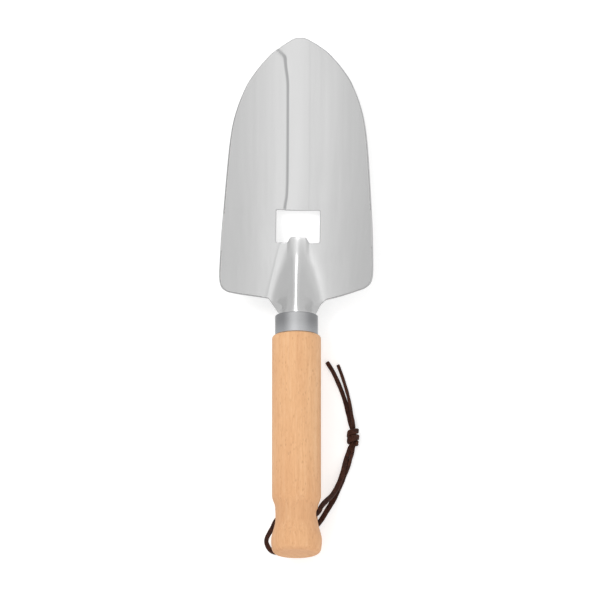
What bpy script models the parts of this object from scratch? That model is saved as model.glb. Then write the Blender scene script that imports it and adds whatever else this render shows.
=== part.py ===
"""Hand trowel with a beech handle, a ferrule, a pressed stainless blade and a
leather hanging lace.

Frame: the origin is the centre of the flat butt face of the handle, on the
handle's axis.  +Y runs along the handle to the blade's tip, +Z is the hollow
(upper) side of the blade and +X is to the right when the tip points away.
All dimensions are in millimetres and are turned into metres when the meshes
are made.
"""

import math

import bmesh
import bpy
import numpy as np
from mathutils import Vector

MM = 0.001
X_AXIS, Y_AXIS, Z_AXIS = np.eye(3)

# ---------------------------------------------------------------- handle ----
LATHE_SIDES = 40
GRIP_R = 13.1                    # straight grip
BUTT_R = 14.0                    # flared butt
WAIST_R = 11.4                   # neck of the butt, where the lace bore goes through
BUTT_CORNER, BUTT_CORNER_STEPS = 3.0, 5     # rounding of the butt's edge
BUTT_FACE_R = BUTT_R - BUTT_CORNER - 0.3
BUTT_SIDE_R, BUTT_SIDE_Y = BUTT_R - 0.12, 4.3   # between the rounding and the belly
BUTT_BELLY_Y = 6.5
WAIST_Y0, WAIST_Y1 = 17.5, 24.5
WAIST_IN_STEPS, WAIST_OUT_STEPS = 6, 4
GRIP_START_Y = 31.0
GRIP_STATIONS = (60.0, 90.0)
SHOULDER_Y = 118.6               # front end of the full wood diameter
SHOULDER_R = 12.3                # edge of the face that meets the ferrule
SHOULDER_EASING = ((1.6, 0.0), (0.7, 0.25))     # (distance behind it, radius lost)
TENON_R, TENON_Y, TENON_CHAMFER = 10.2, 124.6, 0.4
TANG_BORE_R, TANG_BORE_Y = 6.1, 72.0
TANG_BORE_FRONT_Y = 113.5        # front end of the bore's straight part
TANG_BORE_POINT = 2.5            # length of the cone at the bore's bottom
BORE_CLEARANCE = 0.35
BORE_FLARE_STATIONS = (TENON_Y, 122.5, 120.5, 118.5, 116.5)
LACE_BORE_R, LACE_BORE_Y = 3.2, 20.0
LACE_CUTTER_X, LACE_CUTTER_SIDES = 20.0, 24

# ------------------------------------------------------ ferrule and nail ----
FERRULE_R, FERRULE_WALL, FERRULE_CHAMFER = 11.5, 1.0, 0.3
FERRULE_Y0, FERRULE_Y1 = 118.9, 129.6
NAIL_Y = 121.7
NAIL_SHANK_R, NAIL_HEAD_R, NAIL_SIDES = 0.9, 1.7, 14
NAIL_SEAT_Z = -(FERRULE_R + 0.05)
NAIL_TIP_Z, NAIL_POINT = 8.9, 2.2
NAIL_HOLE_R, NAIL_HOLE_SIDES = 1.25, 12
# Bottom and top of the nail hole's cutter in each piece.
BLADE_HOLE_Z = (2.0, 12.0)
HANDLE_HOLE_Z = (-16.0, NAIL_TIP_Z + 0.35)
FERRULE_HOLE_Z = (-14.0, -8.0)

# ----------------------------------------------------------------- blade ----
SHEET = 1.2                      # thickness of the stainless sheet
TIP_Y = 287.0
DISH_R = 108.0                   # radius of the hollow across the blade
DISH_LIMIT_X = 50.0              # the hollow's curve is not followed beyond this
TANG_Y0 = 76.0
FLARE_Y0 = 115.0                 # where the rolled tang starts to widen
TANG_R = 5.0                     # middle of the sheet, rolled tang
NECK_R = 9.45                    # middle of the sheet, where it fills the ferrule
TANG_WRAP, NECK_WRAP = math.radians(135.0), math.radians(150.0)  # to each side of the top
NECK_Y = 128.5
UNROLL_Y0 = 129.0                # where the tube starts to turn into the raised neck
UNROLL_WIDTH_LENGTH = 8.0        # length over which the neck's width leaves the tube's
EDGE_Y = 140.6                   # where the lower edges leave the neck
WINDOW_Y0, WINDOW_Y1, WINDOW_X = 172.0, 190.9, 11.75
# Top of the raised neck: (y, z of the middle of the sheet), from the ferrule to the window.
CROWN = ((NECK_Y, NECK_R), (129.9, 9.35), (EDGE_Y, 4.0), (151.0, -0.6), (161.7, -4.7),
         (WINDOW_Y0, -8.0))
# Cross-section of the raised neck.  Columns: fraction of the way from EDGE_Y to the
# window, x where the rounded top ends, x where the flank ends, x of the flank's foot.
RIDGE = ((0.0, 5.0, 8.6, 17.0),
         (0.35, 4.0, 6.8, 15.0),
         (0.68, 3.4, 4.4, 11.8),
         (1.0, 3.2, 3.3, 9.4))
RIDGE_FOOT_POWER = 1.3
# (y, half width) of the neck between the ferrule and the blade's lower edges.
NECK_WIDTH = ((NECK_Y, 9.4), (131.8, 9.55), (134.8, 11.1), (137.4, 13.1), (EDGE_Y, 15.6))
GROOVE_X, GROOVE_DEPTH, GROOVE_FLANK = 5.4, 0.7, 2.2
# Widening of the groove: (where it starts, where it is full, amount, power).
GROOVE_WIDENING = ((TIP_Y - 26.0, TIP_Y - 12.0, 1.0, 1),
                   (TIP_Y - 13.0, TIP_Y - 7.0, 4.5, 2),
                   (WINDOW_Y1 + 6.0, WINDOW_Y1, 0.8, 1))
# (distance from the tip, half width) of the blade.
SIDE = ((0.0, 0.0), (2.4, 6.4), (4.7, 9.9), (6.9, 12.8), (9.2, 15.5),
        (11.5, 17.6), (16.0, 21.4), (20.6, 24.7), (25.2, 27.6), (29.8, 29.7),
        (39.0, 33.1), (48.0, 35.4), (59.0, 37.0), (77.0, 38.5), (95.0, 39.7),
        (113.0, 40.8), (131.3, 41.4))
# (y, half width) along the lower edges and round the two lower corners.
CORNER = ((EDGE_Y, 15.6), (141.3, 20.0), (142.0, 25.6), (142.8, 32.0),
          (143.6, 36.6), (144.6, 38.7), (146.1, 40.1), (148.2, 40.9),
          (151.0, 41.3), (155.7, 41.4))
CORNER_END_Y = CORNER[-1][0]
# (y, z) of the middle line of the hollow along the blade.
KEEL = ((128.0, -3.0), (141.0, -4.2), (156.0, -6.4), (WINDOW_Y0, -8.8), (200.0, -12.2),
        (230.0, -14.5), (262.0, -15.1), (TIP_Y, -14.2))

# Sampling of the half cross-sections.
SECTION_STEP, SECTION_REACH = 0.1, 66.0
RIDGE_SAMPLES = 800              # samples across x, SECTION_STEP apart
NEAR_SAMPLES = 400               # points next to the crown, used to look up places by x

# Grid of the sheet.  Rows: (y where a run of rows ends, number of rows in it).
NECK_ROWS = ((114.0, 2), (NECK_Y, 5), (FERRULE_Y1 + 0.2, 1), (EDGE_Y, 7))
BLADE_ROWS = ((WINDOW_Y0, 4), (WINDOW_Y1, 3), (WINDOW_Y1 + 3.0, 1), (248.0, 7))
TIP_ROWS = (32.0, 26.0, 20.5, 16.0, 12.5, 9.5, 7.0, 5.0, 3.3, 2.0, 1.0, 0.35)  # from the tip
# Columns: fractions of the part inside the window's side line and of the part outside it.
INNER_COLUMNS = (0.0, 0.17, 0.34, 0.45, 0.58, 0.72, 0.86, 1.0)
OUTER_COLUMNS = (0.0, 0.2, 0.42, 0.62, 0.82, 1.0)
# Behind the window that line moves out to LINE_X at LINE_Y.
LINE_X, LINE_Y = 18.0, 145.0
LINE_SHARE_BEHIND = 0.84         # greatest share of the half width, behind the window
LINE_SHARE_AHEAD = 0.62          # the same, from the window to the tip

# ------------------------------------------------------------------ lace ----
LACE_W, LACE_T = 2.8, 1.6
LACE_CORNER = 0.32 * LACE_T
LOOP_SPACING, END_SPACING = 2.4, 3.0     # between cross-sections
SPLINE_STEPS = 24                        # samples between two control points
FLOOR_Z = -16.1
SPLIT = (22.9, 44.0)             # x, y of the place where the free end may bend aside
SPLIT_HALF_GAP = 1.4
# Direction in which the pair of strands leaves the split, towards the knot.
PAIR = (math.sin(math.radians(19.0)), math.cos(math.radians(19.0)))
STRAND_A_SIDE, STRAND_B_SIDE = -0.95, 1.45   # places to the right of the pair's line
KNOT = (28.9, 65.7, -13.2)
KNOT_SIZE = (3.1, 4.8, 2.8)      # half sizes along x, y and z
KNOT_BANDS, KNOT_SIDES = 7, 12


# --------------------------------------------------------------- helpers ----
def clear_scene():
    for obj in list(bpy.data.objects):
        bpy.data.objects.remove(obj, do_unlink=True)


def material(name, colour, roughness, metallic):
    mat = bpy.data.materials.new(name)
    mat.use_nodes = True
    bsdf = mat.node_tree.nodes["Principled BSDF"]
    bsdf.inputs["Base Color"].default_value = (*colour, 1.0)
    bsdf.inputs["Roughness"].default_value = roughness
    bsdf.inputs["Metallic"].default_value = metallic
    return mat


def mesh_object(name, verts, faces, mat=None, origin=(0.0, 0.0, 0.0), sharp_angle=40.0):
    """An object from points in millimetres, its origin at the point `origin`."""
    mesh = bpy.data.meshes.new(name)
    offset = np.asarray(origin, float)
    points = [tuple((np.asarray(vert, float) - offset) * MM) for vert in verts]
    mesh.from_pydata(points, [], [tuple(int(i) for i in face) for face in faces])
    bm = bmesh.new()
    bm.from_mesh(mesh)
    bmesh.ops.remove_doubles(bm, verts=bm.verts, dist=1e-7)
    bmesh.ops.recalc_face_normals(bm, faces=bm.faces)
    bm.to_mesh(mesh)
    bm.free()
    mesh.shade_smooth()
    mesh.set_sharp_from_angle(angle=math.radians(sharp_angle))
    obj = bpy.data.objects.new(name, mesh)
    obj.location = Vector(tuple(offset * MM))
    bpy.context.scene.collection.objects.link(obj)
    if mat is not None:
        mesh.materials.append(mat)
    return obj


def ring(centre, first, second, radius, sides, turn=0.0):
    """Points round `centre` in the plane of two vectors; a radius of 0 makes a pole.

    `turn` is the place of the first point, in sides from the vector `first`."""
    if radius < 1e-6:
        return [centre]
    angles = [2 * math.pi * (k + turn) / sides for k in range(sides)]
    return [centre + radius * (math.cos(a) * first + math.sin(a) * second) for a in angles]


def skin_rings(rings, closed=False, capped=False):
    """Points and faces of a skin over successive rings.

    `closed` joins the last ring to the first; `capped` fills both end rings."""
    verts, indices, faces = [], [], []
    for points in rings:
        indices.append(range(len(verts), len(verts) + len(points)))
        verts.extend(points)
    pairs = list(zip(indices, indices[1:]))
    if closed:
        pairs.append((indices[-1], indices[0]))
    for low, high in pairs:
        sides = max(len(low), len(high))
        for k in range(sides):
            n = (k + 1) % sides
            if len(low) == 1:
                faces.append((low[0], high[n], high[k]))
            elif len(high) == 1:
                faces.append((low[k], low[n], high[0]))
            else:
                faces.append((low[k], low[n], high[n], high[k]))
    if capped:
        faces += [tuple(reversed(indices[0])), tuple(indices[-1])]
    return verts, faces


def lathe(name, profile, mat, closed=False):
    """Turns a (radius, y) profile round the Y axis."""
    rings = [ring(y * Y_AXIS, Z_AXIS, X_AXIS, radius, LATHE_SIDES, turn=0.5)
             for radius, y in profile]
    verts, faces = skin_rings(rings, closed=closed)
    return mesh_object(name, verts, faces, mat)


def hide_helper(obj):
    obj.hide_render = True
    obj.display_type = "WIRE"


def cutter(name, radius, start, end, sides):
    """A plain cylinder between two points, for cutting holes."""
    start, end = Vector(start), Vector(end)
    axis = (end - start).normalized()
    first = axis.orthogonal().normalized()
    second = axis.cross(first)
    rings = [ring(centre, first, second, radius, sides, turn=0.5) for centre in (start, end)]
    obj = mesh_object(name, *skin_rings(rings, capped=True))
    hide_helper(obj)
    return obj


def boolean(obj, other, operation):
    mod = obj.modifiers.new(operation.lower() + "_" + other.name, "BOOLEAN")
    mod.operation = operation
    mod.object = other
    mod.solver = "EXACT"


def cut_nail_hole(obj, span):
    """Cuts the nail's hole from one height to another."""
    hole = cutter("cut_" + obj.name + "_nail", NAIL_HOLE_R,
                  (0, NAIL_Y, span[0]), (0, NAIL_Y, span[1]), NAIL_HOLE_SIDES)
    boolean(obj, hole, "DIFFERENCE")


def fraction(value, start, end):
    """How far `value` is from start to end, held between 0 and 1."""
    return min(1.0, max(0.0, (value - start) / (end - start)))


def ease(value, start, end):
    """As `fraction`, with a smooth start and finish."""
    t = fraction(value, start, end)
    return t * t * (3 - 2 * t)


def mix(start, end, t):
    return start + (end - start) * t


def spaced(start, end, count):
    """`count` even steps from start to end, without the start."""
    return [mix(start, end, k / count) for k in range(1, count + 1)]


def monotone(points):
    """A monotone cubic through (x, y) points, as a function."""
    xs = np.array([point[0] for point in points], float)
    ys = np.array([point[1] for point in points], float)
    widths = np.diff(xs)
    chords = np.diff(ys) / widths
    slopes = np.zeros(len(xs))
    slopes[0], slopes[-1] = chords[0], chords[-1]
    for i in range(1, len(xs) - 1):
        if chords[i - 1] * chords[i] > 0:
            before = 2 * widths[i] + widths[i - 1]
            after = widths[i] + 2 * widths[i - 1]
            slopes[i] = (before + after) / (before / chords[i - 1] + after / chords[i])

    def value(x):
        x = min(max(x, xs[0]), xs[-1])
        i = min(int(np.searchsorted(xs, x, "right")) - 1, len(xs) - 2)
        t = (x - xs[i]) / widths[i]
        return float((1 + 2 * t) * (1 - t) ** 2 * ys[i]
                     + t * (1 - t) ** 2 * widths[i] * slopes[i]
                     + t * t * (3 - 2 * t) * ys[i + 1]
                     + t * t * (t - 1) * widths[i] * slopes[i + 1])

    return value


# ----------------------------------------------------------------- blade ----
# The square root of the distance keeps the curve round at the tip.
side_width = monotone([(math.sqrt(distance), width) for distance, width in SIDE])
corner_width = monotone(CORNER)
neck_width = monotone(NECK_WIDTH)
keel_z = monotone(KEEL)
crown_line = monotone(CROWN)


def plan_width(y):
    """Half width of the blade, ahead of EDGE_Y."""
    if y < CORNER_END_Y:
        return corner_width(y)
    return side_width(math.sqrt(max(0.0, TIP_Y - y)))


def tube_radius(y):
    return mix(TANG_R, NECK_R, ease(y, FLARE_Y0, NECK_Y))


def crown_z(y):
    """Top of the tube and of the raised neck, middle of the sheet."""
    return tube_radius(y) if y <= NECK_Y else crown_line(y)


def dish(x, y):
    """Height of the hollow."""
    return keel_z(y) + DISH_R - math.sqrt(DISH_R * DISH_R - min(x * x, DISH_LIMIT_X ** 2))


def groove_drop(x, y):
    """How far the central groove lies under the hollow."""
    half = GROOVE_X
    for start, end, amount, power in GROOVE_WIDENING:
        half += amount * ease(y, start, end) ** power
    return GROOVE_DEPTH * ease(abs(x), half + GROOVE_FLANK / 2, half - GROOVE_FLANK / 2)


def section(y):
    """Half cross-section (x, z) of the sheet at y, evenly spaced from the crown outwards.

    The raised neck rounds over, runs down a flank and eases out to the hollow."""
    stations, *columns = zip(*RIDGE)
    t = fraction(y, EDGE_Y, WINDOW_Y0)
    round_x, flank_x, foot_x = [float(np.interp(t, stations, column)) for column in columns]
    x = (np.arange(RIDGE_SAMPLES) + 0.5) * SECTION_STEP
    foot = np.maximum(0.0, (foot_x - x) / (foot_x - flank_x)) ** RIDGE_FOOT_POWER
    shape = np.where(x < round_x, np.sin(np.minimum(x / round_x, 1.0) * math.pi / 2),
                     np.where(x < flank_x, 1.0, foot))
    # The flank is as steep as it must be to fall from the crown to the keel.
    steepness = (crown_z(y) - keel_z(y)) / (shape.sum() * SECTION_STEP)
    dish_depth = np.sqrt(DISH_R * DISH_R - np.minimum(x * x, DISH_LIMIT_X ** 2))
    slope = steepness * shape - np.minimum(x, DISH_LIMIT_X) / dish_depth
    along = np.cumsum(np.sqrt(1.0 + slope * slope)) * SECTION_STEP
    middles = (np.arange(int(SECTION_REACH / SECTION_STEP)) + 0.5) * SECTION_STEP
    ridge_angle = np.interp(middles, along - SECTION_STEP / 2, np.arctan(slope))
    blend = ease(y, UNROLL_Y0, EDGE_Y)
    angle = (1 - blend) * middles / tube_radius(y) + blend * ridge_angle
    xs = np.concatenate([[0.0], np.cumsum(np.cos(angle) * SECTION_STEP)])
    zs = crown_z(y) - np.concatenate([[0.0], np.cumsum(np.sin(angle) * SECTION_STEP)])
    if blend > 0.0:  # once unrolled, the sheet beyond the foot is exactly the hollow
        for i in range(len(xs)):
            weight = blend ** 3 * ease(xs[i], foot_x - 1.0, foot_x + 2.0)
            zs[i] = mix(zs[i], dish(float(xs[i]), y), weight)
    return xs, zs


def half_length(y, xs, lengths):
    """Developed half width of the sheet at y, for a section behind the window."""
    tube_end = NECK_R * NECK_WRAP
    if y >= EDGE_Y:
        return float(np.interp(plan_width(y), xs, lengths))
    if y >= NECK_Y:
        wide = neck_width(y)
        near = xs[:NEAR_SAMPLES]
        reach = int(np.argmax(near >= wide)) if near.max() > wide else int(np.argmax(near))
        return mix(tube_end, reach * SECTION_STEP,
                   ease(y, NECK_Y, NECK_Y + UNROLL_WIDTH_LENGTH))
    return mix(TANG_R * TANG_WRAP, tube_end, ease(y, FLARE_Y0, NECK_Y))


def row_behind_window(y):
    """x and z of the columns of the right half, from the tang to the window's rear edge."""
    xs, zs = section(y)
    lengths = np.arange(len(xs)) * SECTION_STEP
    full = half_length(y, xs, lengths)
    line_x = mix(WINDOW_X, LINE_X, fraction(y, WINDOW_Y0, LINE_Y))
    line = min(float(np.interp(line_x, xs[:NEAR_SAMPLES], lengths[:NEAR_SAMPLES])),
               LINE_SHARE_BEHIND * full)
    places = [line * f for f in INNER_COLUMNS]
    if y >= EDGE_Y:
        x_line, x_edge = np.interp([line, full], lengths, xs)
        places += [float(np.interp(mix(x_line, x_edge, f), xs, lengths))
                   for f in OUTER_COLUMNS[1:]]
        places[-1] = full
    else:
        places += [mix(line, full, f) for f in OUTER_COLUMNS[1:]]
    row_x = np.interp(places, lengths, xs)
    row_z = np.interp(places, lengths, zs)
    if NECK_Y < y < EDGE_Y:
        row_x = row_x * min(1.0, neck_width(y) / row_x.max())
    return row_x, row_z


def row_ahead(y):
    """x and z of the columns of the right half, beside the window and on to the tip."""
    wide = plan_width(y)
    line = min(WINDOW_X, LINE_SHARE_AHEAD * wide)
    row_x = [line * f for f in INNER_COLUMNS]
    row_x += [mix(line, wide, f) for f in OUTER_COLUMNS[1:]]
    beside_window = y < WINDOW_Y1 - 1e-6
    return row_x, [dish(x, y) - (0.0 if beside_window else groove_drop(x, y)) for x in row_x]


def blade_rows():
    """y of every row of the grid, from the tang's end to the tip."""
    rows, start = [TANG_Y0], TANG_Y0
    for end, count in NECK_ROWS:
        rows += spaced(start, end, count)
        start = end
    rows += [y for y, _ in CORNER[1:]]
    start = CORNER_END_Y
    for end, count in BLADE_ROWS:
        rows += spaced(start, end, count)
        start = end
    return rows + [TIP_Y - distance for distance in TIP_ROWS]


def blade_sheet(rows):
    """The sheet's middle surface: a grid of points, and which of its cells exist."""
    edge = len(INNER_COLUMNS) - 1
    half = edge + len(OUTER_COLUMNS) - 1
    grid = np.zeros((len(rows), 2 * half + 1, 3))
    for j, y in enumerate(rows):
        row_x, row_z = row_behind_window(y) if y <= WINDOW_Y0 + 1e-6 else row_ahead(y)
        for i in range(half + 1):
            grid[j, half + i] = (row_x[i], y, row_z[i])
            grid[j, half - i] = (-row_x[i], y, row_z[i])
    cells = np.ones((len(rows) - 1, 2 * half), bool)
    for j in range(len(rows) - 1):
        if WINDOW_Y0 < 0.5 * (rows[j] + rows[j + 1]) < WINDOW_Y1:
            cells[j, half - edge:half + edge] = False
    return grid, cells


def thicken(grid, cells, thickness):
    """Both faces of the sheet and its cut edges, square to the sheet."""
    row_count, column_count = grid.shape[:2]
    points = grid.reshape(-1, 3)
    quads = []
    for j in range(row_count - 1):
        for i in range(column_count - 1):
            if cells[j, i]:
                near = j * column_count + i
                far = near + column_count
                quads.append((near, near + 1, far + 1, far))
    normals = np.zeros_like(points)
    for quad in quads:
        p0, p1, p2, p3 = points[list(quad)]
        normal = np.cross(p2 - p0, p3 - p1)
        size = np.linalg.norm(normal)
        if size > 1e-9:
            for k in quad:
                normals[k] += normal / size
    lengths = np.linalg.norm(normals, axis=1, keepdims=True)
    normals = normals / np.where(lengths > 1e-9, lengths, 1.0)
    # The points inside the window belong to no cell and are left out.
    used = sorted({k for quad in quads for k in quad})
    index = {k: i for i, k in enumerate(used)}
    count = len(used)
    verts = [points[k] + normals[k] * thickness / 2 for k in used]
    verts += [points[k] - normals[k] * thickness / 2 for k in used]
    faces, edges = [], {}
    for quad in quads:
        top = [index[k] for k in quad]
        faces.append(top)
        faces.append([count + k for k in reversed(top)])
        for edge in zip(top, top[1:] + top[:1]):
            edges[edge] = True
    for start, end in edges:
        if (end, start) not in edges:
            faces.append([end, start, count + start, count + end])
    return verts, faces


def make_blade(mat):
    grid, cells = blade_sheet(blade_rows())
    verts, faces = thicken(grid, cells, SHEET)
    obj = mesh_object("blade", verts, faces, mat, sharp_angle=50.0)
    cut_nail_hole(obj, BLADE_HOLE_Z)


# ------------------------------------------------------ ferrule and nail ----
def make_ferrule(mat):
    inside, bevel_r = FERRULE_R - FERRULE_WALL, FERRULE_R - FERRULE_CHAMFER
    profile = [(inside, FERRULE_Y0), (bevel_r, FERRULE_Y0),
               (FERRULE_R, FERRULE_Y0 + FERRULE_CHAMFER),
               (FERRULE_R, FERRULE_Y1 - FERRULE_CHAMFER),
               (bevel_r, FERRULE_Y1), (inside, FERRULE_Y1)]
    obj = lathe("ferrule", profile, mat, closed=True)
    cut_nail_hole(obj, FERRULE_HOLE_Z)


def make_nail(mat):
    """A round-headed ferrule nail driven up from the underside."""
    # (radius, z) from the head to the point
    profile = [(0.0, NAIL_SEAT_Z - 0.85),
               (NAIL_HEAD_R * 0.6, NAIL_SEAT_Z - 0.72),
               (NAIL_HEAD_R * 0.92, NAIL_SEAT_Z - 0.42),
               (NAIL_HEAD_R, NAIL_SEAT_Z - 0.3),
               (NAIL_SHANK_R, NAIL_SEAT_Z + 0.1),
               (NAIL_SHANK_R, NAIL_TIP_Z - NAIL_POINT),
               (0.0, NAIL_TIP_Z)]
    rings = [ring(np.array((0.0, NAIL_Y, z)), X_AXIS, Y_AXIS, radius, NAIL_SIDES)
             for radius, z in profile]
    verts, faces = skin_rings(rings)
    mesh_object("ferrule_nail", verts, faces, mat, origin=(0.0, NAIL_Y, NAIL_SEAT_Z))


# ---------------------------------------------------------------- handle ----
def handle_outline():
    """Outer (radius, y) points from the butt face to the tenon's end."""
    points = [(0.0, 0.0), (BUTT_FACE_R, 0.0)]
    for k in range(1, BUTT_CORNER_STEPS):
        angle = math.radians(90.0 * k / BUTT_CORNER_STEPS)
        points.append((BUTT_FACE_R + BUTT_CORNER * math.sin(angle),
                       BUTT_CORNER * (1 - math.cos(angle))))
    points += [(BUTT_SIDE_R, BUTT_SIDE_Y), (BUTT_R, BUTT_BELLY_Y)]
    for y in spaced(BUTT_BELLY_Y, WAIST_Y0, WAIST_IN_STEPS):
        points.append((mix(BUTT_R, WAIST_R, ease(y, BUTT_BELLY_Y, WAIST_Y0)), y))
    points.append((WAIST_R, WAIST_Y1))
    for y in spaced(WAIST_Y1, GRIP_START_Y, WAIST_OUT_STEPS):
        points.append((mix(WAIST_R, GRIP_R, ease(y, WAIST_Y1, GRIP_START_Y)), y))
    points += [(GRIP_R, y) for y in GRIP_STATIONS]
    points += [(GRIP_R - loss, SHOULDER_Y - distance) for distance, loss in SHOULDER_EASING]
    points += [(SHOULDER_R, SHOULDER_Y), (TENON_R, SHOULDER_Y),
               (TENON_R, TENON_Y - TENON_CHAMFER), (TENON_R - TENON_CHAMFER, TENON_Y)]
    return points


def make_handle(mat):
    profile = handle_outline()
    # The bore follows the flare of the tang, then runs straight to its bottom.
    profile += [(tube_radius(y) + SHEET / 2 + BORE_CLEARANCE, y) for y in BORE_FLARE_STATIONS]
    profile += [(TANG_BORE_R, TANG_BORE_FRONT_Y), (TANG_BORE_R, TANG_BORE_Y),
                (0.0, TANG_BORE_Y - TANG_BORE_POINT)]
    obj = lathe("handle", profile, mat)
    bore = cutter("cut_lace_bore", LACE_BORE_R, (-LACE_CUTTER_X, LACE_BORE_Y, 0.0),
                  (LACE_CUTTER_X, LACE_BORE_Y, 0.0), LACE_CUTTER_SIDES)
    boolean(obj, bore, "DIFFERENCE")
    cut_nail_hole(obj, HANDLE_HOLE_Z)


# ------------------------------------------------------------------ lace ----
def beside(along, side, z, roll):
    """A control point `along` the pair from the split and `side` to its right."""
    return (SPLIT[0] + PAIR[0] * along + PAIR[1] * side,
            SPLIT[1] + PAIR[1] * along - PAIR[0] * side, z, roll)


LIE = FLOOR_Z + LACE_T / 2       # centre height of a lace lying flat
STAND = FLOOR_Z + LACE_W / 2     # centre height of a lace lying on its edge

# Control points of the lace: (x, y, z, roll in degrees).
# Strand A from the split to the bore, the loop round the left side, and strand B
# back under the butt.
LOOP = (
    beside(-SPLIT_HALF_GAP, STRAND_A_SIDE, LIE, 0),
    (19.9, 38.9, LIE + 0.3, 0),
    (17.5, 34.5, LIE + 2.4, 0),
    (15.2, 29.6, -8.6, 0),
    (14.0, 25.6, -5.0, 0),
    (13.1, 22.8, -2.2, 0),
    (11.3, 20.9, -0.4, 0),
    (8.0, 20.5, 0.0, 0),
    (0.0, LACE_BORE_Y, 0.0, 0),
    (-8.0, 19.5, 0.0, 0),
    (-11.2, 18.9, -0.3, 0),
    (-13.2, 17.0, -1.8, 0),
    (-15.2, 13.8, -4.6, 0),
    (-16.8, 10.4, -8.0, 0),
    (-16.9, 7.2, -11.0, 0),
    (-15.4, 4.9, -13.4, 0),
    (-12.4, 4.0, LIE + 0.2, 0),
    (-8.6, 4.8, LIE, 0),
    (-3.5, 7.4, LIE, 0),
    (1.9, 11.6, LIE, 0),
    (6.7, 16.0, LIE, 0),
    (10.6, 20.2, LIE, 0),
    (14.2, 25.2, LIE, 10),
    (17.8, 30.9, LIE + 0.1, 40),
    (21.0, 36.6, STAND - 0.1, 75),
    beside(-SPLIT_HALF_GAP, STRAND_B_SIDE, STAND, 90),
)
# The two strands from the split through the knot to their free ends.
STRAND_A = (
    beside(SPLIT_HALF_GAP, STRAND_A_SIDE, LIE, 0),
    (24.3, 51.2, LIE, 0),
    (25.7, 56.1, LIE, 0),
    (26.6, 60.0, LIE + 0.1, 0),
    (27.7, 64.0, LIE + 0.8, 0),
    (28.0, 68.0, LIE + 0.7, 0),
    (27.3, 72.0, LIE + 0.1, 0),
    (26.5, 78.0, LIE, 0),
    (25.1, 84.1, LIE, 0),
    (23.1, 90.2, LIE, 0),
    (20.7, 96.3, LIE, 0),
    (17.9, 102.3, LIE, 0),
    (14.8, 107.5, LIE, 0),
)
STRAND_B = (
    beside(SPLIT_HALF_GAP, STRAND_B_SIDE, STAND, 90),
    (26.6, 50.5, STAND, 90),
    (28.0, 55.4, STAND, 90),
    (28.9, 59.4, STAND + 0.1, 90),
    (29.7, 64.0, -13.4, 90),
    (29.5, 68.0, -12.9, 90),
    (28.9, 71.6, -12.6, 90),
    (28.5, 76.5, -12.9, 90),
    (27.6, 82.2, -13.5, 90),
    (26.2, 88.3, -14.3, 90),
    (24.4, 94.4, STAND, 90),
    (22.5, 100.4, STAND, 90),
    (20.7, 105.3, STAND, 90),
)


def between(t, start_t, start, end_t, end):
    """The point at t on the line through two timed points."""
    return ((end_t - t) * start + (t - start_t) * end) / (end_t - start_t)


def spline(controls, spacing):
    """Evenly spaced points along a centripetal spline through the controls."""
    points = np.array(controls, float)
    points = np.vstack([2 * points[0] - points[1], points, 2 * points[-1] - points[-2]])
    dense = []
    for i in range(1, len(points) - 2):
        p0, p1, p2, p3 = points[i - 1:i + 3]
        t0 = 0.0
        t1 = t0 + np.linalg.norm((p1 - p0)[:3]) ** 0.5
        t2 = t1 + np.linalg.norm((p2 - p1)[:3]) ** 0.5
        t3 = t2 + np.linalg.norm((p3 - p2)[:3]) ** 0.5
        for k in range(SPLINE_STEPS):
            t = mix(t1, t2, k / SPLINE_STEPS)
            first = between(t, t0, p0, t1, p1)
            middle = between(t, t1, p1, t2, p2)
            last = between(t, t2, p2, t3, p3)
            dense.append(between(t, t1, between(t, t0, first, t2, middle),
                                 t2, between(t, t1, middle, t3, last)))
    dense.append(points[-2])
    dense = np.array(dense)
    steps = np.linalg.norm(np.diff(dense[:, :3], axis=0), axis=1)
    lengths = np.concatenate([[0.0], np.cumsum(steps)])
    count = max(2, int(round(lengths[-1] / spacing)))
    wanted = np.linspace(0.0, lengths[-1], count + 1)
    return np.stack([np.interp(wanted, lengths, dense[:, k]) for k in range(4)], axis=1)


def strap(controls, spacing):
    """A flat lace with bevelled edges swept along a spline; at roll 0 its wide side is level."""
    path = spline(controls, spacing)
    half_w, half_t = LACE_W / 2, LACE_T / 2
    flat_w, flat_t = half_w - LACE_CORNER, half_t - LACE_CORNER
    shape = [(half_w, -flat_t), (half_w, flat_t), (flat_w, half_t), (-flat_w, half_t),
             (-half_w, flat_t), (-half_w, -flat_t), (-flat_w, -half_t), (flat_w, -half_t)]
    rings = []
    for j in range(len(path)):
        ahead = path[min(j + 1, len(path) - 1), :3] - path[max(j - 1, 0), :3]
        ahead = ahead / np.linalg.norm(ahead)
        across = np.cross(ahead, Z_AXIS)
        across = across / np.linalg.norm(across)
        above = np.cross(across, ahead)
        roll = math.radians(path[j, 3])
        rings.append([path[j, :3]
                      + across * (u * math.cos(roll) - v * math.sin(roll))
                      + above * (u * math.sin(roll) + v * math.cos(roll))
                      for u, v in shape])
    return skin_rings(rings, capped=True)


def knot_ball():
    """The knot as an ellipsoid with its poles along Y."""
    rings = []
    for j in range(KNOT_BANDS + 1):
        latitude = math.pi * j / KNOT_BANDS - math.pi / 2
        centre = np.array(KNOT) + KNOT_SIZE[1] * math.sin(latitude) * Y_AXIS
        rings.append(ring(centre, KNOT_SIZE[0] * X_AXIS, KNOT_SIZE[2] * Z_AXIS,
                          math.cos(latitude), KNOT_SIDES))
    return skin_rings(rings)


def make_lace_loop(mat):
    mesh_object("lace_loop", *strap(LOOP, LOOP_SPACING), mat,
                origin=(0.0, LACE_BORE_Y, 0.0), sharp_angle=60.0)


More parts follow.
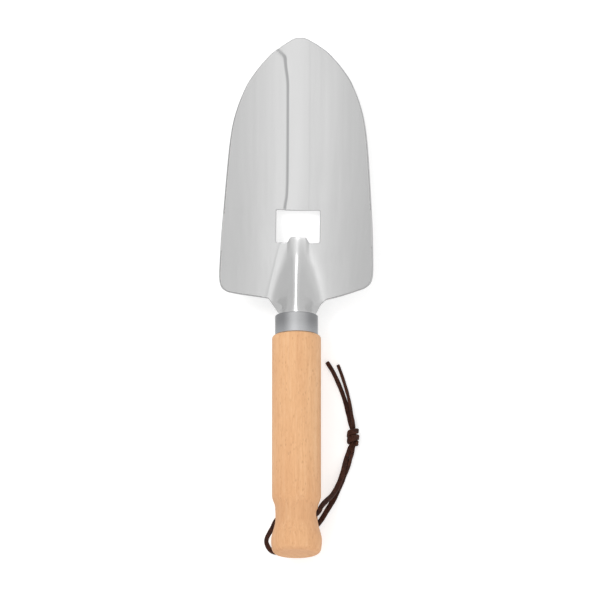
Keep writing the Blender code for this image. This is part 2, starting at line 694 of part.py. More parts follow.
def make_lace_end(mat):
    """Strand A, joined with strand B and the knot; its origin is at the split."""
    pivot = (*SPLIT, LIE)
    end = mesh_object("lace_knot_end", *strap(STRAND_A, END_SPACING), mat,
                      origin=pivot, sharp_angle=60.0)
    second = mesh_object("join_strand_b", *strap(STRAND_B, END_SPACING), origin=pivot)
    knot = mesh_object("join_knot", *knot_ball(), origin=pivot)
    for helper in (second, knot):
        hide_helper(helper)
        boolean(end, helper, "UNION")


def main():
    clear_scene()
    steel = material("stainless_blade", colour=(0.60, 0.61, 0.62), roughness=0.28, metallic=1.0)
    ferrule_steel = material("stainless_ferrule", colour=(0.46, 0.47, 0.48),
                             roughness=0.36, metallic=1.0)
    beech = material("beech", colour=(0.80, 0.55, 0.33), roughness=0.5, metallic=0.0)
    leather = material("leather", colour=(0.058, 0.024, 0.014), roughness=0.6, metallic=0.0)
    nail_steel = material("nail_steel", colour=(0.35, 0.35, 0.36), roughness=0.4, metallic=1.0)
    make_blade(steel)
    make_ferrule(ferrule_steel)
    make_handle(beech)
    make_nail(nail_steel)
    make_lace_loop(leather)
    make_lace_end(leather)


main()
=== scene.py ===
"""Hand trowel: beech handle, ferrule, pressed stainless blade and a knotted leather lace.

The trowel lies along Y on a pale floor, butt near y = 0 and blade tip at y = 287 mm. X runs
across it, left being -X, and the blade's hollow faces up, +Z. The handle's axis is the Y axis.
Shapes are in millimetres; objects, materials, lights and camera are in metres.
"""

import math

import bmesh
import bpy
import numpy as np
from mathutils import Matrix, Vector


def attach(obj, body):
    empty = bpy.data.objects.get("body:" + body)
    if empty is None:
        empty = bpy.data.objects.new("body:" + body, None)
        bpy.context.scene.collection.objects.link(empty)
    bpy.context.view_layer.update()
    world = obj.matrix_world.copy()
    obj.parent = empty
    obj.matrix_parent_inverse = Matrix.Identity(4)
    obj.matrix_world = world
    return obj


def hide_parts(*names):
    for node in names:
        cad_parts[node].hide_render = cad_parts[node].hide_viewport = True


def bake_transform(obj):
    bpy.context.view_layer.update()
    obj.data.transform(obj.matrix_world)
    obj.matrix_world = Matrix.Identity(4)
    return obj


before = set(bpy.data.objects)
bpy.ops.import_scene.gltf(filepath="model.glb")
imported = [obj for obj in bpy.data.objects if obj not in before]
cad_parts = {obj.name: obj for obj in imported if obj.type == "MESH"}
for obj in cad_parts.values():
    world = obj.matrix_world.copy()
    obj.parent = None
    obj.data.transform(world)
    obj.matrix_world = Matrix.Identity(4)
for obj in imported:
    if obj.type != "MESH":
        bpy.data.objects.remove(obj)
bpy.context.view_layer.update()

MM = 0.001
TROWEL, LOOP_BODY, END_BODY = "trowel", "lace_loop_body", "lace_end_body"
FLOOR_Z = -16.1

# ------------------------------------------------- dimensions: handle and fittings ----
GRIP_R, BUTT_R, WAIST_R, BUTT_CORNER = 13.1, 13.6, 11.4, 3.0
BUTT_FACE_Y, BUTT_BELLY_Y = -0.7, 6.5
WAIST_Y0, WAIST_Y1, GRIP_START_Y = 17.5, 24.5, 31.0
SHOULDER_Y, SHOULDER_R = 118.6, 12.3
GRIP_EDGE = 1.7  # length of the broken edge where the grip meets the ferrule
TENON_R, TENON_Y, TENON_BEVEL = 10.2, 124.6, 0.4
TANG_BORE_R, TANG_BORE_Y = 6.1, 72.0
TANG_GAP = 0.35  # clearance round the blade's tubular neck
LACE_BORE_R, LACE_BORE_Y = 3.2, 20.0
FERRULE_R, FERRULE_WALL, FERRULE_Y0, FERRULE_Y1 = 11.5, 1.0, 118.9, 129.6
FERRULE_BEVEL, FERRULE_ROUND_LOW, FERRULE_ROUND_HIGH = 0.15, 0.3, 0.38
NAIL_Y, NAIL_SHANK_R, NAIL_HEAD_R, NAIL_TIP_Z = 121.7, 0.9, 1.7, 8.9
NAIL_HOLE_R, NAIL_HOLE_END = 1.25, 0.35  # the hole runs this far past the nail's tip

# --------------------------------------------------------------- dimensions: blade ----
SHEET, TIP_Y = 1.2, 287.0
DISH_R, DISH_REACH = 108.0, 50.0  # radius of the hollow, and the |x| where it stops curving
TANG_Y0, TANG_R = 76.0, 5.0
FLARE_Y = 115.0  # the tang starts to widen into the neck
NECK_Y, NECK_R = 128.5, 9.45
EDGE_Y = 140.6  # the neck's sides become the blade's lower edges
WINDOW_Y0, WINDOW_Y1, WINDOW_X, WINDOW_CORNER = 172.0, 190.9, 11.75, 0.85
EDGE_ROUND, WINDOW_ROUND = 0.24, 0.50
TONGUE = 3.0  # how far the ridge's end stands into the window
GROOVE_LEFT, GROOVE_RIGHT, GROOVE_DEPTH = 6.6, 5.6, 0.67
# (y, height of the ridge's crown)
CROWN = ((NECK_Y, NECK_R), (EDGE_Y, 4.0), (151.0, -0.6), (161.7, -4.7), (WINDOW_Y0, -8.2))
# (y, half-width of the neck)
NECK_WIDTH = ((NECK_Y, 9.4), (131.8, 9.55), (134.8, 11.1), (137.4, 13.1), (EDGE_Y, 15.6))
# (distance back from the tip, half-width of the blade)
SIDE = ((0.0, 0.0), (2.4, 6.4), (4.7, 9.9), (6.9, 12.8), (9.2, 15.5),
        (11.5, 17.6), (16.0, 21.4), (20.6, 24.7), (25.2, 27.6), (29.8, 29.7),
        (39.0, 33.1), (48.0, 35.4), (59.0, 37.0), (77.0, 38.5), (95.0, 39.7),
        (113.0, 40.8), (131.3, 41.4))
# (y, half-width) round the blade's lower corners
SHOULDER = ((EDGE_Y, 15.6), (141.3, 20.0), (142.0, 25.6), (142.8, 32.0),
            (143.6, 36.6), (144.6, 38.7), (146.1, 40.1), (148.2, 40.9),
            (151.0, 41.3), (155.7, 41.4))
# (y, height of the hollow's lowest line)
KEEL = ((128.0, -3.0), (141.0, -4.2), (156.0, -6.4), (172.0, -8.8), (200.0, -12.2),
        (230.0, -14.5), (262.0, -15.1), (TIP_Y, -14.2))
# The ridge's flanks, left (-1) and right (1), at shares of the way from EDGE_Y to WINDOW_Y0:
# where the rounded top, the steep flank and the foot end, then the power of the foot's easing.
FLANK_SHARES = (0.0, 0.35, 0.68, 1.0)
FLANKS = {
    -1: ((5.0, 4.0, 3.4, 3.2), (9.4, 8.0, 4.8, 3.4), (16.2, 14.0, 11.7, 9.0), 1.1),
    1: ((5.0, 3.8, 3.2, 3.0), (7.4, 4.8, 3.6, 3.1), (18.4, 16.8, 12.6, 10.4), 1.6),
}
STEP, REACH = 0.1, 66.0  # sampling step and length of each half cross-section
RISING = 640  # leading samples whose x is searched for a width
NECK_SAMPLES = 400  # the same, near the neck and ridge

# ---------------------------------------------------------------- dimensions: lace ----
LACE_W, LACE_T = 2.75, 1.7
LACE_RING_STEP, LACE_SIDES, LACE_SEED = 0.33, 28, 7
LIE = FLOOR_Z + LACE_T / 2 + 0.03  # centre height of the lace lying flat
STAND = FLOOR_Z + LACE_W / 2 + 0.03  # and standing on its edge
SPLIT = (22.9, 44.0)  # where the loop's body hands over to the knotted end's
PAIR = (math.sin(math.radians(19.0)), math.cos(math.radians(19.0)))  # run of the pair there
KNOT = np.array((28.9, 65.7, -13.1))
KNOT_LEAN = math.radians(1.0)


# ----------------------------------------------------------------------- helpers ----
def mix(a, b, t):
    return a + (b - a) * t


def smooth(t):
    t = np.clip(t, 0.0, 1.0)
    return t * t * (3 - 2 * t)


def spaced(start, end, count):
    """Even places after start, up to and with end."""
    return [mix(start, end, k / count) for k in range(1, count + 1)]


def arc(steps, first=0, sweep=90.0):
    """(sine, cosine) of even angles up to sweep degrees."""
    angles = [math.radians(sweep * k / steps) for k in range(first, steps + 1)]
    return [(math.sin(a), math.cos(a)) for a in angles]


def monotone(points):
    """A cubic through (place, value) points that never overshoots them."""
    xs = np.array([p[0] for p in points], float)
    ys = np.array([p[1] for p in points], float)
    gap = np.diff(xs)
    rise = np.diff(ys) / gap
    slope = np.zeros(len(xs))
    slope[0], slope[-1] = rise[0], rise[-1]
    for i in range(1, len(xs) - 1):
        if rise[i - 1] * rise[i] > 0:
            before, after = 2 * gap[i] + gap[i - 1], gap[i] + 2 * gap[i - 1]
            slope[i] = (before + after) / (before / rise[i - 1] + after / rise[i])

    def value(x):
        x = min(max(x, xs[0]), xs[-1])
        i = min(int(np.searchsorted(xs, x, "right")) - 1, len(xs) - 2)
        t = (x - xs[i]) / gap[i]
        return float((1 + 2 * t) * (1 - t) ** 2 * ys[i]
                     + t * (1 - t) ** 2 * gap[i] * slope[i]
                     + t * t * (3 - 2 * t) * ys[i + 1]
                     + t * t * (t - 1) * gap[i] * slope[i + 1])

    return value


def centripetal(controls, per):
    """Centripetal Catmull-Rom curve; the first three columns, at most, set the spacing."""

    def between(a, b, start, end, t):
        return (end - t) / (end - start) * a + (t - start) / (end - start) * b

    def span(a, b):
        return max(1e-6, np.linalg.norm((b - a)[:3])) ** 0.5

    pts = np.array(controls, float)
    pts = np.vstack([2 * pts[0] - pts[1], pts, 2 * pts[-1] - pts[-2]])
    out = []
    for i in range(1, len(pts) - 2):
        p0, p1, p2, p3 = pts[i - 1:i + 3]
        t0 = 0.0
        t1 = t0 + span(p0, p1)
        t2 = t1 + span(p1, p2)
        t3 = t2 + span(p2, p3)
        for k in range(per):
            t = mix(t1, t2, k / per)
            a1 = between(p0, p1, t0, t1, t)
            a2 = between(p1, p2, t1, t2, t)
            a3 = between(p2, p3, t2, t3, t)
            b1 = between(a1, a2, t0, t2, t)
            b2 = between(a2, a3, t1, t3, t)
            out.append(between(b1, b2, t1, t2, t))
    out.append(pts[-2])
    return np.array(out)


def run_lengths(points):
    """Distance along a polyline to each of its points."""
    steps = np.linalg.norm(np.diff(points, axis=0), axis=1)
    return np.concatenate([[0.0], np.cumsum(steps)])


def piece(name, verts, faces, mat=None, sharp=None):
    """An object at the origin from points in millimetres."""
    mesh = bpy.data.meshes.new(name)
    mesh.from_pydata([tuple(float(c) * MM for c in v) for v in verts], [],
                     [tuple(int(i) for i in f) for f in faces])
    edit = bmesh.new()
    edit.from_mesh(mesh)
    bmesh.ops.recalc_face_normals(edit, faces=edit.faces)
    edit.to_mesh(mesh)
    edit.free()
    mesh.shade_smooth()
    if sharp is not None:
        mesh.set_sharp_from_angle(angle=math.radians(sharp))
    if mat is not None:
        mesh.materials.append(mat)
    obj = bpy.data.objects.new(name, mesh)
    bpy.context.scene.collection.objects.link(obj)
    return obj


def turned(profile, sides, axis="Y", centre=(0.0, 0.0, 0.0)):
    """Points and faces of a profile of (radius, height) turned round an axis through centre.

    A profile that starts and ends off the axis is closed into a ring."""
    verts, rings = [], []
    for radius, h in profile:
        count = 1 if radius < 1e-6 else sides
        rings.append(list(range(len(verts), len(verts) + count)))
        for k in range(count):
            a = 2 * math.pi * (k + 0.5) / sides
            u, v = radius * math.sin(a), radius * math.cos(a)
            p = {"Y": (u, h, v), "Z": (u, v, h), "X": (h, u, v)}[axis]
            verts.append(tuple(c + o for c, o in zip(p, centre)))
    faces = []
    pairs = list(zip(rings, rings[1:]))
    if profile[0][0] > 1e-6 and profile[-1][0] > 1e-6:
        pairs.append((rings[-1], rings[0]))
    for low, high in pairs:
        for k in range(sides):
            n = (k + 1) % sides
            if len(low) == 1:
                faces.append((low[0], high[k], high[n]))
            elif len(high) == 1:
                faces.append((low[k], high[0], low[n]))
            else:
                faces.append((low[k], high[k], high[n], low[n]))
    return verts, faces


def cut(obj, cutters):
    """Exact Boolean cuts, applied, with the cutters removed afterwards."""
    for cutter in cutters:
        mod = obj.modifiers.new("cut", "BOOLEAN")
        mod.operation, mod.solver, mod.object = "DIFFERENCE", "EXACT", cutter
    bpy.context.view_layer.update()
    evaluated = obj.evaluated_get(bpy.context.evaluated_depsgraph_get())
    done = bpy.data.meshes.new_from_object(evaluated)
    obj.modifiers.clear()
    old = obj.data
    obj.data = done
    done.name = old.name + "_cut"
    bpy.data.meshes.remove(old)
    for cutter in cutters:
        bpy.data.objects.remove(cutter, do_unlink=True)


def nail_cutter(name, profile):
    """An upright cutter on the nail's axis."""
    return piece(name, *turned(profile, 32, "Z", (0.0, NAIL_Y, 0.0)))


# --------------------------------------------------------------------- materials ----
class Nodes:
    """A short way to write node trees. Colours are given as (r, g, b)."""

    def __init__(self, tree):
        self.tree = tree

    def add(self, kind, inputs=(), **props):
        node = self.tree.nodes.new("ShaderNode" + kind)
        for key, value in props.items():
            setattr(node, key, value)
        self.fill(node, inputs)
        return node

    def fill(self, node, inputs):
        for key, value in dict(inputs).items():
            socket = node.inputs[key]
            if isinstance(value, bpy.types.NodeSocket):
                self.tree.links.new(value, socket)
            elif socket.type == "RGBA":
                socket.default_value = (*value, 1.0)
            else:
                socket.default_value = value

    def math(self, op, a, b=0.0):
        return self.add("Math", {0: a, 1: b}, operation=op).outputs[0]

    def plus(self, total, *others):
        for other in others:
            total = self.math("ADD", total, other)
        return total

    def times(self, total, *others):
        for other in others:
            total = self.math("MULTIPLY", total, other)
        return total

    def hypot(self, a, b):
        return self.math("SQRT", self.plus(self.times(a, a), self.times(b, b)))

    def vector(self, op, a, b):
        return self.add("VectorMath", {0: a, 1: b}, operation=op).outputs[0]

    def xyz(self, vector):
        return self.add("SeparateXYZ", {0: vector}).outputs

    def combine(self, x, y, z):
        return self.add("CombineXYZ", {0: x, 1: y, 2: z}).outputs[0]

    def noise(self, vector, scale, detail=2.0, rough=0.5, coloured=False):
        """Noise; a scale of three numbers stretches it differently along each axis."""
        if isinstance(scale, tuple):
            vector, scale = self.vector("MULTIPLY", vector, scale), 1.0
        node = self.add("TexNoise", {"Vector": vector, "Scale": scale, "Detail": detail,
                                     "Roughness": rough})
        return node.outputs[int(coloured)]

    def cells(self, vector, scale, feature="F1"):
        """Voronoi distance, with the scale as for noise."""
        if isinstance(scale, tuple):
            vector, scale = self.vector("MULTIPLY", vector, scale), 1.0
        node = self.add("TexVoronoi", {"Vector": vector, "Scale": scale}, feature=feature)
        return node.outputs["Distance"]

    def ramp(self, value, over, out=(0.0, 1.0), kind="SMOOTHSTEP"):
        """The value remapped from the range over to the range out."""
        return self.add("MapRange", {"Value": value, "From Min": over[0], "From Max": over[1],
                                     "To Min": out[0], "To Max": out[1]},
                        interpolation_type=kind).outputs[0]

    def colour(self, factor, a, b):
        return self.add("Mix", {0: factor, 6: a, 7: b}, data_type="RGBA").outputs[2]

    def paint(self, base, *layers):
        """Layers of (mask, colour) laid over the base, in order."""
        for mask, tint in layers:
            base = self.colour(mask, base, tint)
        return base

    def bump(self, height, strength, distance):
        return self.add("Bump", {"Height": height, "Strength": strength,
                                 "Distance": distance}).outputs[0]


def new_material(name):
    mat = bpy.data.materials.new(name)
    mat.use_nodes = True
    tree = Nodes(mat.node_tree)
    bsdf = mat.node_tree.nodes["Principled BSDF"]
    coord = tree.add("TexCoord").outputs["Object"]
    return mat, tree, bsdf, coord


def steel_material(name, base, rough, tone, aniso, bump, ring=False):
    """Brushed stainless steel, its lines along Y or, for the ring, round the Y axis.

    tone is how far the brush lines stray from the base colour."""
    mat, tree, bsdf, coord = new_material(name)
    if ring:
        x, y, z = tree.xyz(coord)
        angle = tree.math("ARCTAN2", x, z)
        around = tree.combine(tree.times(angle, 0.012), y, 0.0)  # turned to a length in metres
        lines = tree.noise(around, scale=(90.0, 5200.0, 1.0), detail=3.0, rough=0.6)
        bands = tree.noise(around, scale=(20.0, 620.0, 1.0))
    else:
        lines = tree.noise(coord, scale=(4200.0, 9.0, 4200.0), detail=3.0, rough=0.6)
        bands = tree.noise(coord, scale=(300.0, 3.0, 300.0))
    cloud = tree.noise(coord, scale=38.0, detail=3.0, rough=0.55)
    streaks = tree.plus(tree.times(lines, 0.45), tree.times(bands, 0.55))  # fine and broad shares
    low = tuple(c * (1 - tone) for c in base)
    high = tuple(min(1.0, c * (1 + tone)) for c in base)
    tint = tree.colour(tree.ramp(streaks, over=(0.3, 0.7)), low, high)
    if ring:  # painted shade: darker away from the middle, easing off at the rim; and a painted highlight, paler next to the wood
        facing = tree.add("LayerWeight", {"Blend": 0.5}).outputs["Facing"]
        # painted shade: the ring's sides are painted darker where they turn away from the view
        painted_side_shade = tree.times(tree.ramp(facing, over=(0.0, 0.26)),
                            tree.ramp(facing, over=(0.95, 0.6), out=(0.1, 1.0)))
        # painted highlight: the ring is painted paler and bluer towards the wood end
        painted_wood_end_highlight = tree.ramp(tree.xyz(coord)[1], over=(0.1265, 0.1185), out=(0.0, 0.30))
        tint = tree.paint(tint, (painted_side_shade, (0.37, 0.375, 0.385)), (painted_wood_end_highlight, (0.92, 0.94, 0.97)))
        tangent = tree.add("Tangent", direction_type="RADIAL", axis="Y").outputs[0]
    else:  # painted shade: darker on the groove's steep left side, which leans towards +X
        lean = tree.xyz(tree.add("TexCoord").outputs["Normal"])[0]
        place = tree.xyz(coord)
        # painted shade: the groove's left wall is painted darker where its normal leans towards +X
        wall = tree.times(tree.ramp(lean, over=(0.20, 0.42)),
                          tree.ramp(place[0], over=(-0.0035, -0.0045)),
                          tree.ramp(place[0], over=(-0.0150, -0.0135)),
                          tree.ramp(place[1], over=(0.1905, 0.1925)), 0.62)  # last, strength
        tint = tree.paint(tint, (wall, (0.53, 0.535, 0.54)))
        tangent = tree.combine(0.0, 1.0, 0.0)
    roughness = tree.plus(
        tree.ramp(lines, over=(0.25, 0.75), out=(rough - 0.035, rough + 0.05), kind="LINEAR"),
        tree.ramp(cloud, over=(0.3, 0.7), out=(-0.02, 0.02), kind="LINEAR"))
    tree.fill(bsdf, {"Base Color": tint, "Roughness": roughness, "Metallic": 1.0,
                     "Anisotropic": aniso, "Tangent": tangent,
                     "Normal": tree.bump(lines, strength=bump, distance=0.0002)})
    return mat


def beech_material():
    """Oiled beech with its grain along Y."""
    mat, tree, bsdf, coord = new_material("beech_oiled")
    x, y, z = tree.xyz(coord)
    # growth rings 3.4 mm apart, the pith well to the left and below, the grain wandering slowly
    wander = tree.noise(coord, scale=(18.0, 9.0, 18.0))
    drift = tree.times(tree.math("SUBTRACT", wander, 0.5), 0.0075)
    from_pith = tree.hypot(tree.plus(x, drift, 0.043), tree.plus(z, 0.021))
    waver = tree.times(tree.noise(coord, scale=(70.0, 7.0, 70.0)), 0.0016)
    ring = tree.math("FRACT", tree.times(tree.plus(from_pith, waver), 1.0 / 0.0034))
    # broad tone patches, long streaks, fibres
    patch = tree.noise(coord, scale=(48.0, 11.0, 48.0), detail=3.0, rough=0.55)
    streak = tree.noise(coord, scale=(520.0, 16.0, 520.0), detail=3.0, rough=0.6)
    fibre = tree.noise(coord, scale=(3400.0, 110.0, 3400.0), rough=0.6)
    # ray flecks, pores and short dashes, on slightly warped coordinates
    swirl = tree.noise(coord, scale=(300.0, 90.0, 300.0), coloured=True)
    warped = tree.vector("ADD", coord, tree.vector("MULTIPLY", swirl, (0.0009, 0.0012, 0.0009)))
    fleck_cell = tree.cells(warped, scale=(760.0, 270.0, 760.0))
    fleck_gate = tree.noise(coord, scale=(260.0, 90.0, 260.0))
    fleck = tree.times(tree.ramp(fleck_cell, over=(0.30, 0.12)),
                       tree.ramp(fleck_gate, over=(0.38, 0.56)))
    pore_cell = tree.cells(warped, scale=(2600.0, 420.0, 2600.0))
    pore_gate = tree.noise(coord, scale=(500.0, 140.0, 500.0))
    pore = tree.times(tree.ramp(pore_cell, over=(0.26, 0.10)),
                      tree.ramp(pore_gate, over=(0.50, 0.62)))
    dash = tree.noise(warped, scale=(1250.0, 190.0, 1250.0), detail=3.0, rough=0.62)
    late = tree.times(tree.ramp(ring, over=(0.55, 0.97)), tree.ramp(ring, over=(1.0, 0.97)), 0.13)
    # end grain at the butt: redder, with rings and dots
    normal = tree.xyz(tree.add("NewGeometry").outputs["Normal"])[1]
    end = tree.ramp(normal, over=(-0.35, -0.85))
    dots = tree.cells(coord, scale=(2900.0, 700.0, 2900.0))
    end_grain = tree.colour(tree.ramp(ring, over=(0.2, 1.0), out=(0.15, 0.75)),
                            (0.700, 0.370, 0.190), (0.560, 0.265, 0.125))
    end_dots = tree.ramp(dots, over=(0.45, 0.15), out=(0.0, 0.35))
    end_grain = tree.paint(end_grain, (end_dots, (0.420, 0.190, 0.090)))
    # a slightly darker band round the waist
    waist = tree.times(tree.ramp(y, over=(0.010, 0.019)), tree.ramp(y, over=(0.031, 0.023)), 0.16)
    base = tree.colour(tree.ramp(patch, over=(0.32, 0.68)),
                       (0.790, 0.428, 0.208), (0.860, 0.500, 0.255))
    base = tree.paint(
        base,
        (tree.ramp(streak, over=(0.35, 0.72), out=(0.0, 0.34)), (0.700, 0.360, 0.175)),
        (tree.ramp(streak, over=(0.50, 0.25), out=(0.0, 0.35)), (0.900, 0.580, 0.345)),
        (tree.ramp(dash, over=(0.50, 0.74), out=(0.0, 0.42)), (0.640, 0.315, 0.145)),
        (tree.ramp(dash, over=(0.48, 0.28), out=(0.0, 0.34)), (0.930, 0.600, 0.350)),
        (late, (0.640, 0.315, 0.150)),
        (tree.ramp(fibre, over=(0.3, 0.8), out=(0.0, 0.14)), (0.560, 0.270, 0.130)),
        (tree.times(fleck, 0.36), (0.490, 0.225, 0.100)),
        (tree.times(pore, 0.34), (0.420, 0.190, 0.085)),
        (tree.times(end, 0.30), end_grain),
        (waist, (0.560, 0.290, 0.150)))
    roughness = tree.ramp(fibre, over=(0.2, 0.8), out=(0.44, 0.56), kind="LINEAR")
    pits = tree.plus(tree.times(pore, 0.9), tree.times(fleck, 0.35))
    height = tree.math("SUBTRACT", tree.times(fibre, 0.5), pits)
    tree.fill(bsdf, {"Base Color": base,
                     "Roughness": tree.plus(roughness, tree.times(end, 0.12)),
                     "Specular IOR Level": 0.38, "Coat Weight": 0.06, "Coat Roughness": 0.35,
                     "Normal": tree.bump(height, strength=0.35, distance=0.00006)})
    return mat


def leather_material():
    """Dark brown hide with a fine cell grain, and a painted highlight that makes its corners paler.
    """
    mat, tree, bsdf, coord = new_material("leather_dark")
    grain = tree.cells(coord, scale=2600.0, feature="DISTANCE_TO_EDGE")
    fine = tree.noise(coord, scale=5200.0, detail=3.0, rough=0.65)
    patch = tree.noise(coord, scale=420.0, detail=3.0, rough=0.6)
    worn = tree.noise(coord, scale=1300.0, detail=4.0, rough=0.7)
    # painted highlight: the strap's corners, found by pointiness, are painted paler
    corner = tree.add("NewGeometry").outputs["Pointiness"]
    base = tree.colour(tree.ramp(patch, over=(0.32, 0.68)),
                       (0.0330, 0.0115, 0.0070), (0.0700, 0.0235, 0.0135))
    base = tree.paint(
        base,
        (tree.ramp(worn, over=(0.50, 0.78), out=(0.0, 0.65)), (0.1450, 0.0560, 0.0330)),
        (tree.ramp(grain, over=(0.10, 0.0), out=(0.0, 0.55)), (0.0100, 0.0045, 0.0032)),
        (tree.ramp(corner, over=(0.52, 0.60), out=(0.0, 0.45)), (0.1350, 0.0620, 0.0370)))
    roughness = tree.ramp(fine, over=(0.2, 0.8), out=(0.50, 0.72), kind="LINEAR")
    cell_height = tree.times(tree.ramp(grain, over=(0.0, 0.22)), 0.6)
    height = tree.plus(cell_height, tree.times(fine, 0.5))
    tree.fill(bsdf, {"Base Color": base, "Roughness": roughness, "Specular IOR Level": 0.16,
                     "Sheen Weight": 0.04, "Sheen Roughness": 0.5,
                     "Normal": tree.bump(height, strength=0.55, distance=0.00012)})
    return mat


# ------------------------------------------------------------------------- blade ----
side_width = monotone([(math.sqrt(back), wide) for back, wide in SIDE])
keel_z = monotone(KEEL)
crown_line = monotone(CROWN)
neck_width = monotone(NECK_WIDTH)
shoulder_curve = centripetal([(wide, y) for y, wide in SHOULDER], 20)
shoulder_ys = np.maximum.accumulate(shoulder_curve[:, 1])


def plan_width(y):
    """Half-width of the blade."""
    if y < SHOULDER[-1][0]:
        return float(np.interp(y, shoulder_ys, shoulder_curve[:, 0]))
    return side_width(math.sqrt(max(0.0, TIP_Y - y)))


def neck_share(y):
    return smooth((y - FLARE_Y) / (NECK_Y - FLARE_Y))


def tube_radius(y):
    return mix(TANG_R, NECK_R, neck_share(y))


def crown_z(y):
    return tube_radius(y) if y <= NECK_Y else crown_line(y)


def dish_root(x):
    return np.sqrt(DISH_R * DISH_R - np.minimum(x * x, DISH_REACH ** 2))


def dish(x, y):
    """Height of the hollow."""
    return keel_z(y) + DISH_R - dish_root(x)


def groove_drop(x, y):
    """A shallow pressed channel: its left side is crisp, its right side fades out gently."""
    flare = 1.3 * smooth((y - (TIP_Y - 26.0)) / 14.0)
    flare += 4.6 * smooth((y - (TIP_Y - 13.0)) / 7.0) ** 2
    foot = smooth((WINDOW_Y1 + 9.0 - y) / 9.0)
    left = GROOVE_LEFT + flare + 0.9 * foot
    right = GROOVE_RIGHT + 0.3 * flare
    deep = GROOVE_DEPTH + 0.36 * smooth((y - (TIP_Y - 32.0)) / 22.0) + 0.12 * foot
    fade = 17.0 + 10.0 * smooth((y - (TIP_Y - 42.0)) / 30.0)
    channel = deep * smooth(0.5 + (left + x) / 1.6) * smooth(0.5 + (right - x) / fade)
    return channel + 0.035 * smooth(0.5 + (GROOVE_RIGHT - x) / 0.9)


def section(y, side):
    """Half cross-section (x, z) of the sheet at y, evenly spaced along it from the crown outwards.

    The ridge rounds over to x = top, runs down to x = flank and eases out to the hollow at
    x = foot; on the left it stays steep for longer, on the right it fades out more gently."""
    s = (np.arange(1, int(REACH / STEP) + 1) - 0.5) * STEP
    share = min(1.0, max(0.0, (y - EDGE_Y) / (WINDOW_Y0 - EDGE_Y)))
    *limits, ease = FLANKS[side]
    top, flank, foot = (float(np.interp(share, FLANK_SHARES, row)) for row in limits)
    x = (np.arange(800) + 0.5) * STEP
    shape = np.where(x < top, np.sin(np.minimum(x / top, 1.0) * math.pi / 2) ** 1.1,
                     np.where(x < flank, 1.0,
                              np.maximum(0.0, (foot - x) / (foot - flank)) ** ease))
    kernel = np.hanning(17)[1:-1]
    padded = np.concatenate([-shape[:7][::-1], shape, np.zeros(7)])
    shape = np.convolve(padded, kernel / kernel.sum(), "valid")
    steep = (crown_z(y) - keel_z(y)) / (shape.sum() * STEP)
    slope = steep * shape - np.minimum(x, DISH_REACH) / dish_root(x)
    along = np.cumsum(np.sqrt(1.0 + slope * slope)) * STEP
    ridge = np.interp(s, along - STEP / 2, np.arctan(slope))
    blend = smooth((y - 129.0) / (EDGE_Y - 129.0))  # from the round neck to the ridge
    angle = (1 - blend) * s / tube_radius(y) + blend * ridge
    xs = np.concatenate([[0.0], np.cumsum(np.cos(angle) * STEP)])
    zs = crown_z(y) - np.concatenate([[0.0], np.cumsum(np.sin(angle) * STEP)])
    if blend > 0.0:  # beyond the ridge the sheet is exactly the hollow
        weight = blend ** 3 * smooth((xs - foot + 1.0) / 3.0)
        zs = zs * (1 - weight) + dish(xs, y) * weight
        if side < 0:  # a fine crease along the left foot
            zs = zs - 0.10 * blend ** 3 * np.exp(-((xs - foot) / 0.75) ** 2)
    return xs, zs


def half_length(y, xs):
    """Distance along the half cross-section from the crown to the sheet's edge."""
    axis = np.arange(len(xs)) * STEP
    tube_end = NECK_R * math.radians(150.0)
    if y >= EDGE_Y:
        return float(np.interp(plan_width(y), xs[:RISING], axis[:RISING]))
    if y < NECK_Y:
        return mix(TANG_R * math.radians(135.0), tube_end, neck_share(y))
    wide = neck_width(y)
    near = xs[:NECK_SAMPLES]
    reach = int(np.argmax(near >= wide)) if near.max() > wide else int(np.argmax(near))
    side = float(axis[reach])
    if reach and xs[reach] >= wide:
        gap = max(1e-9, xs[reach] - xs[reach - 1])
        side = float(axis[reach - 1] + STEP * (wide - xs[reach - 1]) / gap)
    return mix(tube_end, side, smooth((y - NECK_Y) / 8.0))


def ridge_half(y, side, inner, outer):
    """(x, z) from the crown outwards, at or below the window's lower edge."""
    xs, zs = section(y, side)
    axis = np.arange(len(xs)) * STEP
    full = half_length(y, xs)
    share = min(1.0, max(0.0, (WINDOW_Y0 - y) / (WINDOW_Y0 - 145.0)))
    bound_x = mix(WINDOW_X, 18.0, share)
    bound = min(float(np.interp(bound_x, xs[:NECK_SAMPLES], axis[:NECK_SAMPLES])), 0.84 * full)
    if y >= EDGE_Y:
        bound_x, edge_x = np.interp([bound, full], axis, xs)
        beyond = np.interp(mix(bound_x, edge_x, outer), xs[:RISING], axis[:RISING])
        beyond[-1] = full
    else:
        beyond = mix(bound, full, outer)
    places = np.concatenate([bound * inner, beyond])
    half_x, half_z = np.interp(places, axis, xs), np.interp(places, axis, zs)
    if NECK_Y < y < EDGE_Y:
        half_x = half_x * min(1.0, neck_width(y) / half_x.max())
    return half_x, half_z


def hollow_halves(y, inner, outer):
    """Left and right (x, z) above the window's lower edge."""
    wide = plan_width(y)
    bound = min(WINDOW_X, 0.62 * wide)
    xs = np.concatenate([bound * inner, mix(bound, wide, outer)])
    zs = dish(xs, y)
    if y < WINDOW_Y1 - 1e-6:
        return (xs, zs), (xs, zs)
    return (xs, zs - groove_drop(-xs, y)), (xs, zs - groove_drop(xs, y))


